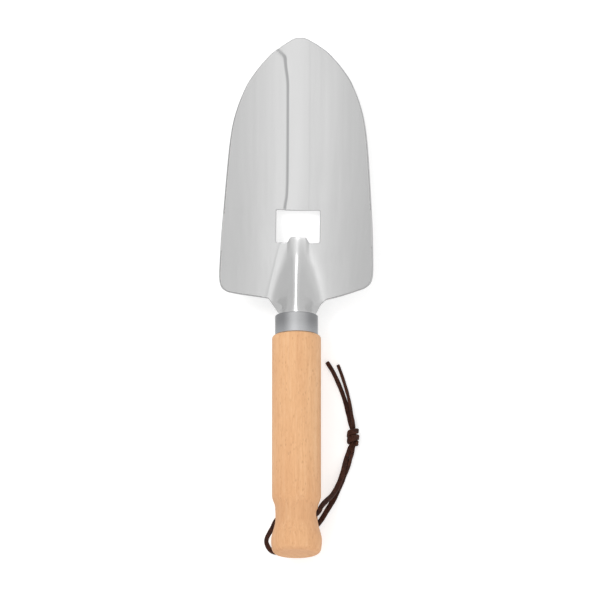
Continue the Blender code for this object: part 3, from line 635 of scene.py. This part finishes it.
def round_window(grid, rows, half, edge):
    """Round the four corners of the window."""
    r = WINDOW_CORNER
    for y_edge, into in ((WINDOW_Y0, 1), (WINDOW_Y1, -1)):
        row = rows.index(y_edge)
        for side in (-1, 1):
            col = half + side * edge
            centre_x, centre_y = side * (WINDOW_X - r), y_edge + into * r
            moves = []
            j = row
            while abs(rows[j] - y_edge) < r:
                moves.append((j, col, 1.0 - abs(rows[j] - y_edge) / r))
                j += into
            i = col - side
            while abs(abs(grid[row, i, 0]) - WINDOW_X) < r:
                moves.append((row, i, 1.0 + (WINDOW_X - abs(grid[row, i, 0])) / r))
                i -= side
            for j, i, turn in moves:
                a = math.radians(45.0 * turn)
                x, y = centre_x + side * r * math.cos(a), centre_y - into * r * math.sin(a)
                lift = dish(x, y) - dish(grid[j, i, 0], grid[j, i, 1])
                grid[j, i] = (x, y, grid[j, i, 2] + lift)


def skew_sheet(grid):
    """Shift the lower right edge and the window slightly, and push out the ridge's tongue."""
    x, y = grid[:, :, 0].copy(), grid[:, :, 1].copy()
    # the right lower edge runs in lower to the neck
    run_in = smooth(x / 14.0) * (1.0 - smooth((x - 18.0) / 22.0))
    grid[:, :, 1] -= 1.6 * run_in * smooth((y - 136.0) / 4.6) * (1.0 - smooth((y - 141.0) / 20.0))
    # the window is a shade out of square
    near = smooth((y - 158.0) / 12.0) * (1.0 - smooth((y - 194.0) / 14.0))
    near = near * (1.0 - smooth((np.abs(x) - 13.0) / 18.0))
    grid[:, :, 1] -= near * (0.050 * x + 0.35 * smooth((y - 174.0) / 14.0))
    grid[:, :, 0] -= 0.3 * near
    # the ridge's end stands a little into the window, as a short tongue
    near = smooth((y - (WINDOW_Y0 - 9.0)) / 9.0) * (y < WINDOW_Y0 + 0.01)
    grid[:, :, 1] += TONGUE * near * smooth((6.0 - np.abs(x - 0.3)) / 2.2)


def blade_sheet(rows, inner, outer):
    """Middle surface of the blade as a grid of points, and which of its cells are filled."""
    edge = len(inner) - 1
    half = edge + len(outer)
    grid = np.zeros((len(rows), 2 * half + 1, 3))
    for j, y in enumerate(rows):
        if y <= WINDOW_Y0 + 1e-6:
            halves = [ridge_half(y, side, inner, outer) for side in (-1, 1)]
        else:
            halves = hollow_halves(y, inner, outer)
        (left_x, left_z), (right_x, right_z) = halves
        grid[j, :half + 1, 0], grid[j, :half + 1, 2] = -left_x[::-1], left_z[::-1]
        grid[j, half:, 0], grid[j, half:, 2] = right_x, right_z
        lean = -0.75 * smooth((y - 133.0) / 26.0) * smooth((WINDOW_Y0 + 0.5 - y) / 0.4)
        grid[j, :, 0] += lean * (1.0 - smooth(np.abs(grid[j, :, 0]) / 8.5))
        grid[j, :, 1] = y
    # the flare of the neck runs smoothly from the ferrule to the lower edges
    first = next(j for j, y in enumerate(rows) if y > NECK_Y + 1.2)
    last = next(j for j, y in enumerate(rows) if y > EDGE_Y - 0.4)
    flat = grid[:, :, ::2]
    for _ in range(60):
        flat[first:last] = (0.25 * flat[first - 1:last - 1] + 0.5 * flat[first:last]
                            + 0.25 * flat[first + 1:last + 1])
    cells = np.ones((len(rows) - 1, 2 * half), bool)
    for j in range(len(rows) - 1):
        if WINDOW_Y0 < 0.5 * (rows[j] + rows[j + 1]) < WINDOW_Y1:
            cells[j, half - edge:half + edge] = False
    round_window(grid, rows, half, edge)
    skew_sheet(grid)
    return grid, cells


def unit_rows(vectors):
    return vectors / np.maximum(np.linalg.norm(vectors, axis=1, keepdims=True), 1e-12)


def sheet_solid(grid, cells):
    """Both faces of the sheet, with the cut edges square to it and their corners rounded."""
    row_count, col_count = grid.shape[:2]
    points = grid.reshape(-1, 3).copy()
    quads = np.array([(j * col_count + i, j * col_count + i + 1,
                       (j + 1) * col_count + i + 1, (j + 1) * col_count + i)
                      for j in range(row_count - 1) for i in range(col_count - 1)
                      if cells[j, i]])
    cross = unit_rows(np.cross(points[quads[:, 2]] - points[quads[:, 0]],
                               points[quads[:, 3]] - points[quads[:, 1]]))
    normals = np.zeros_like(points)
    for k in range(4):
        np.add.at(normals, quads[:, k], cross)
    normals = unit_rows(normals)
    # the open edges, each point's follower along them and its direction out of the sheet
    directed = set()
    for q in quads:
        for a, b in zip(q, np.roll(q, -1)):
            directed.add((int(a), int(b)))
    follow = {a: b for a, b in directed if (b, a) not in directed}
    before = {b: a for a, b in follow.items()}
    outward = {}
    for k in follow:
        tangent = points[follow[k]] - points[before[k]]
        tangent = tangent / max(np.linalg.norm(tangent), 1e-12)
        out = np.cross(tangent, normals[k])
        outward[k] = out / max(np.linalg.norm(out), 1e-12)
    radius = {}
    for k, out in outward.items():
        x, y = points[k][:2]
        at_window = abs(x) < WINDOW_X + 1.0 and WINDOW_Y0 - 2.0 < y < WINDOW_Y1 + 2.0
        radius[k] = WINDOW_ROUND if at_window else EDGE_ROUND
        points[k] = points[k] - out * radius[k]
    used = sorted({int(k) for q in quads for k in q})
    index = {k: n for n, k in enumerate(used)}
    verts = [points[k] + normals[k] * SHEET / 2 for k in used]
    verts += [points[k] - normals[k] * SHEET / 2 for k in used]
    count = len(used)
    faces = []
    for q in quads:
        top = [index[int(k)] for k in q]
        faces.append(top)
        faces.append([count + k for k in reversed(top)])
    rim = {}
    for k, out in outward.items():
        chain = [index[k]]
        for side, angles in ((1.0, (62.0, 30.0, 0.0)), (-1.0, (0.0, 30.0, 62.0))):
            centre = points[k] + side * normals[k] * (SHEET / 2 - radius[k])
            for a in map(math.radians, angles):
                chain.append(len(verts))
                turn = math.cos(a) * out + side * math.sin(a) * normals[k]
                verts.append(centre + radius[k] * turn)
        chain.append(count + index[k])
        rim[k] = chain
    for a, b in follow.items():
        for low, high in zip(range(7), range(1, 8)):
            faces.append([rim[b][low], rim[a][low], rim[a][high], rim[b][high]])
    return verts, faces


def blade_rows():
    """The y of every row, from the tang's end to the tip, closer where the shape turns."""
    rows = [TANG_Y0] + spaced(TANG_Y0, 114.0, 12) + spaced(114.0, NECK_Y, 18)
    rows += spaced(NECK_Y, EDGE_Y, 44)
    lengths = run_lengths(shoulder_curve)
    even = np.linspace(0, lengths[-1], 56)[1:]
    rows += [float(v) for v in np.interp(even, lengths, shoulder_ys)]
    rows[-1] = SHOULDER[-1][0]
    for end, count in ((WINDOW_Y0 - 2.0, 18), (WINDOW_Y0, 4), (WINDOW_Y0 + WINDOW_CORNER, 4),
                       (WINDOW_Y1 - WINDOW_CORNER, 18), (WINDOW_Y1, 4), (WINDOW_Y1 + 4.0, 7),
                       (252.0, 62)):
        rows += spaced(rows[-1], end, count)
    # towards the tip the rows close up with the square of the distance
    roots = np.linspace(math.sqrt(TIP_Y - 252.0), 0.40, 46)[1:]
    return rows + [TIP_Y - q * q for q in roots]


def make_blade(mat):
    inner = np.linspace(0.0, 1.0, 43)  # shares from the middle to the window's side
    outer = np.append(np.linspace(0.0, 1.0, 37)[1:-1], (0.992, 1.0))  # and on to the edge
    grid, cells = blade_sheet(blade_rows(), inner, outer)
    obj = piece("blade_stainless", *sheet_solid(grid, cells), mat)
    hole = [(0.0, 2.0), (NAIL_HOLE_R, 2.0), (NAIL_HOLE_R, 12.0), (0.0, 12.0)]
    cut(obj, [nail_cutter("nail_hole_tang", hole)])
    return obj


# ------------------------------------------------------- handle, ferrule and nail ----
def handle_profile():
    """(radius, y) of the outside, from the butt's middle to the end of the tenon."""
    points = [(r, BUTT_FACE_Y) for r in (0.0, 4.0, 8.0)]
    flat = BUTT_R - BUTT_CORNER - 0.3
    points += [(flat + BUTT_CORNER * sin, (BUTT_CORNER - BUTT_FACE_Y) * (1 - cos) + BUTT_FACE_Y)
               for sin, cos in arc(12, sweep=88.0)]
    belly = monotone([(2.95, flat + BUTT_CORNER), (4.6, BUTT_R - 0.1), (BUTT_BELLY_Y, BUTT_R)])
    points += [(belly(y), y) for y in np.linspace(3.3, BUTT_BELLY_Y, 5)]
    for r0, r1, y0, y1, count in ((BUTT_R, WAIST_R, BUTT_BELLY_Y, WAIST_Y0, 16),
                                  (WAIST_R, WAIST_R, WAIST_Y0, WAIST_Y1, 9),
                                  (WAIST_R, GRIP_R, WAIST_Y1, GRIP_START_Y, 12),
                                  (GRIP_R, GRIP_R, GRIP_START_Y, SHOULDER_Y - GRIP_EDGE, 36)):
        points += [(mix(r0, r1, smooth((y - y0) / (y1 - y0))), float(y))
                   for y in np.linspace(y0, y1, count)[1:]]
    # broken edge at the ferrule
    points += [(GRIP_R - 0.95 * (1 - cos), SHOULDER_Y - GRIP_EDGE + 1.55 * sin)
               for sin, cos in arc(6, first=1)]
    points += [(SHOULDER_R - 0.35, SHOULDER_Y), (TENON_R, SHOULDER_Y),
               (TENON_R, TENON_Y - TENON_BEVEL), (TENON_R - TENON_BEVEL, TENON_Y)]
    return points


def lace_bore_profile():
    """(radius, x) of the crosswise bore, opening out at both sides of the waist."""
    side = [(0.0, -20.0), (LACE_BORE_R + 9.2, -20.0)]
    side += [(LACE_BORE_R + f, -(WAIST_R - 0.62) - f) for f in (0.9, 0.5, 0.25)]
    side += [(LACE_BORE_R + 0.06, -(WAIST_R - 0.52)), (LACE_BORE_R, -(WAIST_R - 0.9))]
    return side + [(r, -h) for r, h in reversed(side)]


def make_handle(mat):
    # the socket follows the blade's neck down from the tenon's end, then the tang's bore
    wall = SHEET / 2 + TANG_GAP
    profile = handle_profile() + [(tube_radius(TENON_Y) + wall, TENON_Y)]
    profile += [(tube_radius(y) + wall, y) for y in np.linspace(123.6, 115.6, 9)]
    profile += [(TANG_BORE_R, 113.5), (TANG_BORE_R, TANG_BORE_Y), (0.0, TANG_BORE_Y - 2.5)]
    obj = piece("handle_beech", *turned(profile, 128), mat)
    bore = turned(lace_bore_profile(), 64, "X", (0.0, LACE_BORE_Y, 0.0))
    top = NAIL_TIP_Z + NAIL_HOLE_END
    nail_hole = [(0.0, -16.0), (NAIL_HOLE_R, -16.0), (NAIL_HOLE_R, top), (0.0, top)]
    cut(obj, [piece("bore_cut", *bore), nail_cutter("nail_cut", nail_hole)])
    obj.data.set_sharp_from_angle(angle=math.radians(38.0))
    return obj


def make_ferrule(mat):
    """A short tube with bevelled inner edges and rounded outer ones."""
    r, inside = FERRULE_R, FERRULE_R - FERRULE_WALL
    bevel, low, high = FERRULE_BEVEL, FERRULE_ROUND_LOW, FERRULE_ROUND_HIGH
    profile = [(inside, FERRULE_Y0 + bevel), (inside + bevel, FERRULE_Y0)]
    profile += [(r - low + low * sin, FERRULE_Y0 + low * (1 - cos)) for sin, cos in arc(4)]
    profile += [(r, float(y)) for y in np.linspace(FERRULE_Y0 + 0.5, FERRULE_Y1 - 0.55, 12)]
    profile += [(r - high * (1 - cos), FERRULE_Y1 - high + high * sin) for sin, cos in arc(5)]
    profile += [(inside + bevel, FERRULE_Y1), (inside, FERRULE_Y1 - bevel)]
    obj = piece("ferrule_satin", *turned(profile[::-1], 160), mat)
    # the nail's hole goes through the underside only, its mouth widened
    hole = [(0.0, -14.0), (NAIL_HOLE_R + 0.9, -14.0), (NAIL_HOLE_R, -FERRULE_R + 0.25),
            (NAIL_HOLE_R, -8.0), (0.0, -8.0)]
    cut(obj, [nail_cutter("nail_hole_ferrule", hole)])
    obj.data.set_sharp_from_angle(angle=math.radians(40.0))
    return obj


def make_nail(mat):
    """A round-headed nail driven upwards, its head under the ferrule."""
    seat = -(FERRULE_R + 0.05)
    profile = [(0.0, seat - 0.92)]
    profile += [(NAIL_HEAD_R * sin, seat - 0.28 - 0.64 * cos) for sin, cos in arc(8, first=1)]
    profile += [(NAIL_HEAD_R - 0.05, seat - 0.12), (NAIL_SHANK_R + 0.12, seat + 0.05),
                (NAIL_SHANK_R, seat + 0.35), (NAIL_SHANK_R, 0.0),
                (NAIL_SHANK_R, NAIL_TIP_Z - 2.4), (0.45, NAIL_TIP_Z - 0.8), (0.0, NAIL_TIP_Z)]
    verts, faces = turned(profile, 40, "Z", (0.0, NAIL_Y, 0.0))
    return piece("nail_round_head", verts, faces, mat, sharp=50.0)


# -------------------------------------------------------------------------- lace ----
def beside(along, side, z, roll):
    """A control point placed along and to the right of the pair's line through SPLIT."""
    return (SPLIT[0] + PAIR[0] * along + PAIR[1] * side,
            SPLIT[1] + PAIR[1] * along - PAIR[0] * side, z, roll)


def with_across(controls):
    """Rows of place, width direction and size from (x, y, z, roll in degrees, size = 1)."""
    pts = np.array([c if len(c) == 5 else tuple(c) + (1.0,) for c in controls], float)
    out = []
    for k, p in enumerate(pts):
        tangent = pts[min(k + 1, len(pts) - 1), :3] - pts[max(k - 1, 0), :3]
        tangent = tangent / np.linalg.norm(tangent)
        across = np.cross(tangent, (0.0, 0.0, 1.0))
        across /= np.linalg.norm(across)
        above = np.cross(across, tangent)
        roll = math.radians(p[3])
        width_way = across * math.cos(roll) + above * math.sin(roll)
        out.append(np.concatenate([p[:3], width_way, [p[4]]]))
    return out


def knot_turn(top, bottom, out_x, out_z, order):
    """One strand through the knot, from below: up the core, one turn round it, up the core again.

    The turn runs from y = top to y = bottom with radii out_x and out_z. In the knot's frame x
    is right, y along the pair and z up. Rows are place, width direction and size."""
    flat, along = (1.0, 0.0, 0.0), (0.15, 1.0, 0.0)
    rows = [
        (-0.3 + 0.5 * order, -3.2, -0.9 + 0.5 * order, *flat, 0.72),
        (-0.3 + 0.3 * order, 0.4 * (top + bottom), -0.3 + 0.3 * order, *flat, 0.45),
        (0.6, top + 0.35, 0.1, 0.6, 0.6, 0.5, 0.5)]
    steps = 10
    for k in range(steps + 1):
        a = 2 * math.pi * (k / steps) * 0.97 + 0.12
        y = mix(top, bottom, k / steps)
        bump = 1.0 + 0.035 * math.sin(3.1 * k + 1.7 * order)
        bump *= 1.0 - 0.24 * order * (k / steps) ** 3
        size = 1.16 if 0 < k < steps else 0.9
        rows.append((out_x * bump * math.cos(a), y, out_z * bump * math.sin(a), *along, size))
    return rows + [
        (0.7, bottom - 0.5, -0.2, 0.6, 0.6, -0.4, 0.5),
        (0.1, 0.3 * (top + bottom) + 0.4, -0.5 + 0.3 * order, *flat, 0.42),
        (-0.2 + 0.3 * order, 3.2, -0.6 + 0.6 * order, *flat, 0.72)]


def to_knot(rows):
    """From the knot's own frame to the trowel's, the knot leaning slightly left at its top."""
    sin, cos = math.sin(KNOT_LEAN), math.cos(KNOT_LEAN)
    axes = np.array(((cos, sin, 0.0), (-sin, cos, 0.0), (0.0, 0.0, 1.0)))
    rows = np.array(rows)
    return np.hstack([KNOT + rows[:, :3] @ axes, rows[:, 3:6] @ axes, rows[:, 6:]])


# Control points (x, y, z, roll in degrees, size = 1), in order along the lace.
TAIL_FLAT = (
    (14.6, 107.6, LIE - 0.1, 0, 0.82), (17.7, 102.4, LIE - 0.1, 0, 0.84),
    (20.5, 96.3, LIE - 0.1, 2, 0.84), (22.9, 90.2, LIE - 0.1, 4, 0.84),
    (24.8, 84.1, LIE - 0.1, 3, 0.86), (26.2, 78.0, LIE, 0, 0.88), (27.3, 73.2, LIE + 0.5, -4, 0.85))
# from the knot to the handle, through its bore towards -X and back under it to the knot
LOOP = (
    (27.3, 60.4, LIE + 0.55, 0, 0.9), (25.7, 56.1, LIE + 0.2, 3, 0.95), (24.4, 51.2, LIE + 0.9, 4),
    beside(1.5, -0.35, LIE + 1.6, 3), beside(-1.5, -0.25, LIE + 1.8, 0),
    (20.5, 38.6, LIE + 2.1, -3), (19.1, 35.3, -11.4, -8), (17.4, 32.1, -8.8, -10),
    (15.0, 28.6, -5.0, -10), (12.9, 25.0, -2.0, -6, 0.96), (12.0, 22.4, -0.8, 0, 0.94),
    (10.6, 20.8, -0.2, 0, 0.92), (8.0, 20.4, 0.0, 0, 0.92), (0.0, 20.0, -0.4, 0, 0.92),
    (-7.0, 19.2, -0.9, 0, 0.92), (-10.4, 18.8, -1.3, 0, 0.9), (-12.4, 16.9, -3.2, 3, 0.88),
    (-13.7, 14.8, -5.2, 8, 0.88), (-15.4, 12.8, -7.4, 12, 0.88), (-17.0, 10.7, -9.7, 14, 0.9),
    (-17.6, 9.0, -11.8, 14, 0.9), (-16.9, 6.6, -13.6, 10, 0.9), (-15.3, 4.8, -14.8, 4, 0.94),
    (-12.4, 4.0, LIE + 0.1, 0), (-8.6, 4.8, LIE, 0), (-3.5, 7.4, LIE, 0), (1.9, 11.6, LIE, 0),
    (6.7, 16.0, LIE, 0), (11.0, 20.4, LIE, 0), (14.6, 26.1, LIE, 0), (18.3, 32.3, LIE, 0),
    (20.8, 37.6, LIE, 2), beside(-1.5, 0.35, LIE, 4), beside(1.5, 0.5, LIE + 0.1, 8),
    (26.3, 50.4, -14.45, 55), (27.9, 55.4, STAND, 86), (29.0, 60.2, STAND + 0.25, 76, 0.95))
TAIL_ON_EDGE = (
    (29.0, 73.0, -12.7, 70, 0.95), (28.3, 77.2, -13.0, 84, 1.0), (27.4, 82.2, -13.5, 90, 1.03),
    (26.1, 88.3, -14.3, 90, 1.05), (24.4, 94.4, STAND, 90, 1.06), (22.5, 100.4, STAND, 90, 1.06),
    (20.6, 105.6, STAND, 90, 1.06))


def lace_controls():
    """All control rows from end to end, the width directions kept from flipping over."""
    first_turn = to_knot(knot_turn(top=3.0, bottom=-0.35, out_x=2.42, out_z=2.02, order=0.0))
    second_turn = to_knot(knot_turn(top=-0.5, bottom=-3.7, out_x=2.50, out_z=2.10, order=1.0))
    rows = np.vstack([with_across(TAIL_FLAT), first_turn[::-1], with_across(LOOP), second_turn,
                      with_across(TAIL_ON_EDGE)])
    for k in range(1, len(rows)):
        if np.dot(rows[k, 3:6], rows[k - 1, 3:6]) < 0:
            rows[k, 3:6] *= -1
    return rows


def lace_outline():
    """A rounded rectangle of half-sizes 1 by 1."""
    outline = []
    for k in range(LACE_SIDES):
        a = 2 * math.pi * (k + 0.5) / LACE_SIDES
        c, s = math.cos(a), math.sin(a)
        outline.append((math.copysign(abs(c) ** 0.42, c), math.copysign(abs(s) ** 0.52, s)))
    return outline


def make_lace(mat):
    dense = centripetal(lace_controls(), 30)
    lengths = run_lengths(dense[:, :3])
    total = lengths[-1]
    want = np.linspace(0.0, total, int(total / LACE_RING_STEP))
    path = np.stack([np.interp(want, lengths, dense[:, k]) for k in range(7)], axis=1)
    rng = np.random.default_rng(LACE_SEED)

    def wobble(wave, amount):
        out = np.zeros(len(want))
        for _ in range(5):
            length = wave * rng.uniform(0.6, 1.8)
            out += np.sin(want * 2 * math.pi / length + rng.uniform(0, 6.28))
        return out * amount / 3.0

    width_noise = wobble(wave=9.0, amount=0.05)
    thick_noise = wobble(wave=6.0, amount=0.05)
    lift = wobble(wave=4.0, amount=0.02)
    outline = lace_outline()
    sides = LACE_SIDES
    verts, faces = [], []
    for j, row in enumerate(path):
        tangent = path[min(j + 1, len(path) - 1), :3] - path[max(j - 1, 0), :3]
        tangent /= np.linalg.norm(tangent)
        across = row[3:6] - tangent * np.dot(row[3:6], tangent)
        across /= max(1e-9, np.linalg.norm(across))
        above = np.cross(across, tangent)
        size = row[6]
        wide = LACE_W / 2 * size * (1 + width_noise[j])
        thick = LACE_T / 2 * (0.35 + 0.65 * size) * (1 + thick_noise[j])
        to_end = min(want[j], total - want[j])
        if to_end < 0.25:  # the cut ends are slightly rounded over
            shrink = 1 - 0.16 * (1 - to_end / 0.25) ** 2
            wide, thick = wide * shrink, thick * shrink
        for a, b in outline:
            rough = 0.018 * math.sin(7.3 * want[j] + 9.1 * a + 5.0 * b)
            rough *= math.sin(3.7 * want[j] * (1 + 0.2 * b))
            verts.append(row[:3] + across * (a * (wide + rough))
                         + above * (b * (thick + rough) + lift[j] * 0.2))
    for j in range(len(path) - 1):
        for k in range(sides):
            n = (k + 1) % sides
            faces.append((j * sides + k, j * sides + n, (j + 1) * sides + n, (j + 1) * sides + k))
    for ring in (0, len(path) - 1):  # cut ends: an inner ring and a middle point
        base = ring * sides
        centre = path[ring, :3]
        inner = list(range(len(verts), len(verts) + sides))
        verts += [centre + (verts[base + k] - centre) * 0.55 for k in range(sides)]
        middle = len(verts)
        verts.append(centre)
        for k in range(sides):
            n = (k + 1) % sides
            a, b = (n, k) if ring == 0 else (k, n)
            faces.append((base + a, base + b, inner[b], inner[a]))
            faces.append((inner[a], inner[b], middle))
    return piece("leather_lace", verts, faces, mat, sharp=62.0)


# -------------------------------------------------------------------- assembling ----
steel = steel_material("stainless_brushed", base=(0.79, 0.79, 0.79), rough=0.20, tone=0.022,
                       aniso=0.3, bump=0.015)
satin = steel_material("stainless_satin_ring", base=(0.62, 0.625, 0.635), rough=0.22, tone=0.025,
                       aniso=0.3, bump=0.012, ring=True)
nail_steel = steel_material("nail_bright_steel", base=(0.52, 0.52, 0.53), rough=0.34, tone=0.05,
                            aniso=0.0, bump=0.05)
beech = beech_material()
leather = leather_material()

blade = make_blade(steel)
ferrule = make_ferrule(satin)
handle = make_handle(beech)
nail = make_nail(nail_steel)
for obj, node, slot in ((blade, "blade", "stainless_blade"),
                        (ferrule, "ferrule", "stainless_ferrule"),
                        (handle, "handle", "beech"),
                        (nail, "ferrule_nail", "nail_steel")):
    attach(obj, TROWEL)
    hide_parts(node)

lace = make_lace(leather)
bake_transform(lace)
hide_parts("lace_loop", "lace_knot_end")

# ------------------------------------------------------------------------- floor ----
FLOOR_HALF, FLOOR_CENTRE_Y = 8.0, 0.12  # metres
WHITE = (1.0, 1.0, 1.0)


def floor_material():
    """One even pale tone to the camera; the metal mirrors it a little greyer than it is seen."""
    mat = bpy.data.materials.new("floor_white")
    mat.use_nodes = True
    mat.node_tree.nodes.clear()
    tree = Nodes(mat.node_tree)
    rays = tree.add("LightPath").outputs
    bounce = tree.add("BsdfDiffuse", {"Color": (0.88, 0.88, 0.88)}).outputs[0]
    mirrored = tree.add("Emission", {"Color": WHITE, "Strength": 0.62}).outputs[0]
    glow = tree.add("Emission", {"Color": WHITE, "Strength": 0.54}).outputs[0]
    lit = tree.add("BsdfDiffuse", {"Color": (0.70, 0.70, 0.70)}).outputs[0]
    seen = tree.add("AddShader", {0: glow, 1: lit}).outputs[0]
    unseen = tree.add("MixShader", {0: rays["Is Glossy Ray"], 1: bounce, 2: mirrored}).outputs[0]
    surface = tree.add("MixShader", {0: rays["Is Camera Ray"], 1: unseen, 2: seen}).outputs[0]
    tree.add("OutputMaterial", {"Surface": surface})
    return mat


floor_mat = floor_material()
floor_mesh = bpy.data.meshes.new("floor")
floor_mesh.from_pydata([(x * FLOOR_HALF, y * FLOOR_HALF, 0)
                        for x, y in ((-1, -1), (1, -1), (1, 1), (-1, 1))], [], [(0, 1, 2, 3)])
floor_mesh.materials.append(floor_mat)
floor = bpy.data.objects.new("floor", floor_mesh)
floor.location = (0.0, FLOOR_CENTRE_Y, (FLOOR_Z - 0.05) * MM)
bpy.context.scene.collection.objects.link(floor)


# -------------------------------------------------------------- world and lights ----
def tent_level(tree):
    """Brightness of what polished metal mirrors, by direction."""
    x, y, z = tree.xyz(tree.add("TexCoord").outputs["Generated"])
    sideways = tree.math("DIVIDE", x, tree.hypot(x, z))

    def aside(over, out=(0.0, 1.0)):
        return tree.ramp(tree.math("ABSOLUTE", sideways), over, out)

    overhead = tree.ramp(tree.math("ABSOLUTE", tree.plus(sideways, 0.08)), over=(0.64, 0.0))
    # a little light at both sides except towards the tip, and a dark patch towards the butt
    sides = tree.times(tree.ramp(y, over=(0.50, 0.38), out=(0.0, 0.03)), aside(over=(0.12, 0.40)))
    butt = tree.times(tree.ramp(y, over=(-0.30, -0.55), out=(0.0, -0.32)),
                      aside(over=(0.50, 0.30)))
    # a narrow strip light beyond the tip, of strength 1.9
    off_strip = tree.math("ABSOLUTE", tree.math("SUBTRACT", x, -0.005))
    strip = tree.times(tree.ramp(off_strip, over=(0.13, 0.03)),
                       tree.times(tree.ramp(y, over=(0.66, 0.78)),
                                  tree.ramp(z, over=(0.20, 0.45))), 1.9)
    return tree.plus(
        0.60,  # the tent's own level
        tree.times(overhead, 0.26),
        aside(over=(0.86, 0.55), out=(0.0, 0.07)),
        sides,
        tree.ramp(sideways, over=(0.35, 0.75), out=(0.0, 0.035)),  # lighter to the right
        butt,
        strip)


def make_world():
    """A pale tent for reflections, an even grey for diffuse light, white to the camera."""
    world = bpy.data.worlds.new("studio")
    bpy.context.scene.world = world
    world.use_nodes = True
    world.node_tree.nodes.clear()
    tree = Nodes(world.node_tree)
    rays = tree.add("LightPath").outputs
    tent, plain, white = (
        tree.add("Background", {"Color": WHITE, "Strength": strength}).outputs[0]
        for strength in (tent_level(tree), 0.78, 1.0))
    lit = tree.add("MixShader", {0: rays["Is Glossy Ray"], 1: plain, 2: tent}).outputs[0]
    surface = tree.add("MixShader", {0: rays["Is Camera Ray"], 1: lit, 2: white}).outputs[0]
    tree.add("OutputWorld", {"Surface": surface})


def softbox(name, toward, distance, size, power):
    """A square area light facing the trowel from the direction toward; metres and watts."""
    data = bpy.data.lights.new(name, "AREA")
    data.shape, data.size, data.size_y, data.energy = "RECTANGLE", size, size, power
    obj = bpy.data.objects.new(name, data)
    aim = Vector((0.0, 0.14, -0.01))
    way = Vector(toward).normalized()
    obj.location = aim + way * distance
    obj.rotation_mode = "QUATERNION"
    obj.rotation_quaternion = way.to_track_quat("Z", "Y")
    obj.visible_glossy = False
    obj.visible_camera = False
    bpy.context.scene.collection.objects.link(obj)


make_world()
softbox("key_upper_left", toward=(-0.55, 0.45, 1.0), distance=1.3, size=0.62, power=4.6)
softbox("fill_front", toward=(0.5, -1.0, 0.5), distance=1.5, size=1.1, power=4.4)

# ------------------------------------------------------------------------ camera ----
# the camera's own axes: right, up and backwards, away from the trowel
RIGHT = Vector((0.9932, 0.0, -0.1165))
UP = Vector((0.0274, 0.9719, 0.2337))
BACK = Vector((0.1132, -0.2353, 0.9653))
AIM_RIGHT, AIM_UP = 2.03, 134.6  # mm from the origin along RIGHT and UP
VIEW_WIDTH = 321.0  # mm across the view at the aim, before the zoom
SENSOR, LENS, ZOOM = 36.0, 1400.0, 1.0033  # the zoom tightens the view in place

cam_data = bpy.data.cameras.new("camera")
cam_data.lens = LENS * ZOOM
cam_data.sensor_width = SENSOR
cam_data.clip_start, cam_data.clip_end = 0.5, 60.0
cam = bpy.data.objects.new("camera", cam_data)
target = (RIGHT * AIM_RIGHT + UP * AIM_UP) * MM
distance = VIEW_WIDTH * MM * LENS / SENSOR
turn = Matrix((RIGHT, UP, BACK)).transposed().to_4x4()
cam.matrix_world = Matrix.Translation(target + BACK * distance) @ turn
bpy.context.scene.collection.objects.link(cam)
bpy.context.scene.camera = cam
bpy.context.scene.view_settings.view_transform = "Standard"
bpy.context.scene.view_settings.look = "None"

bpy.context.view_layer.update()
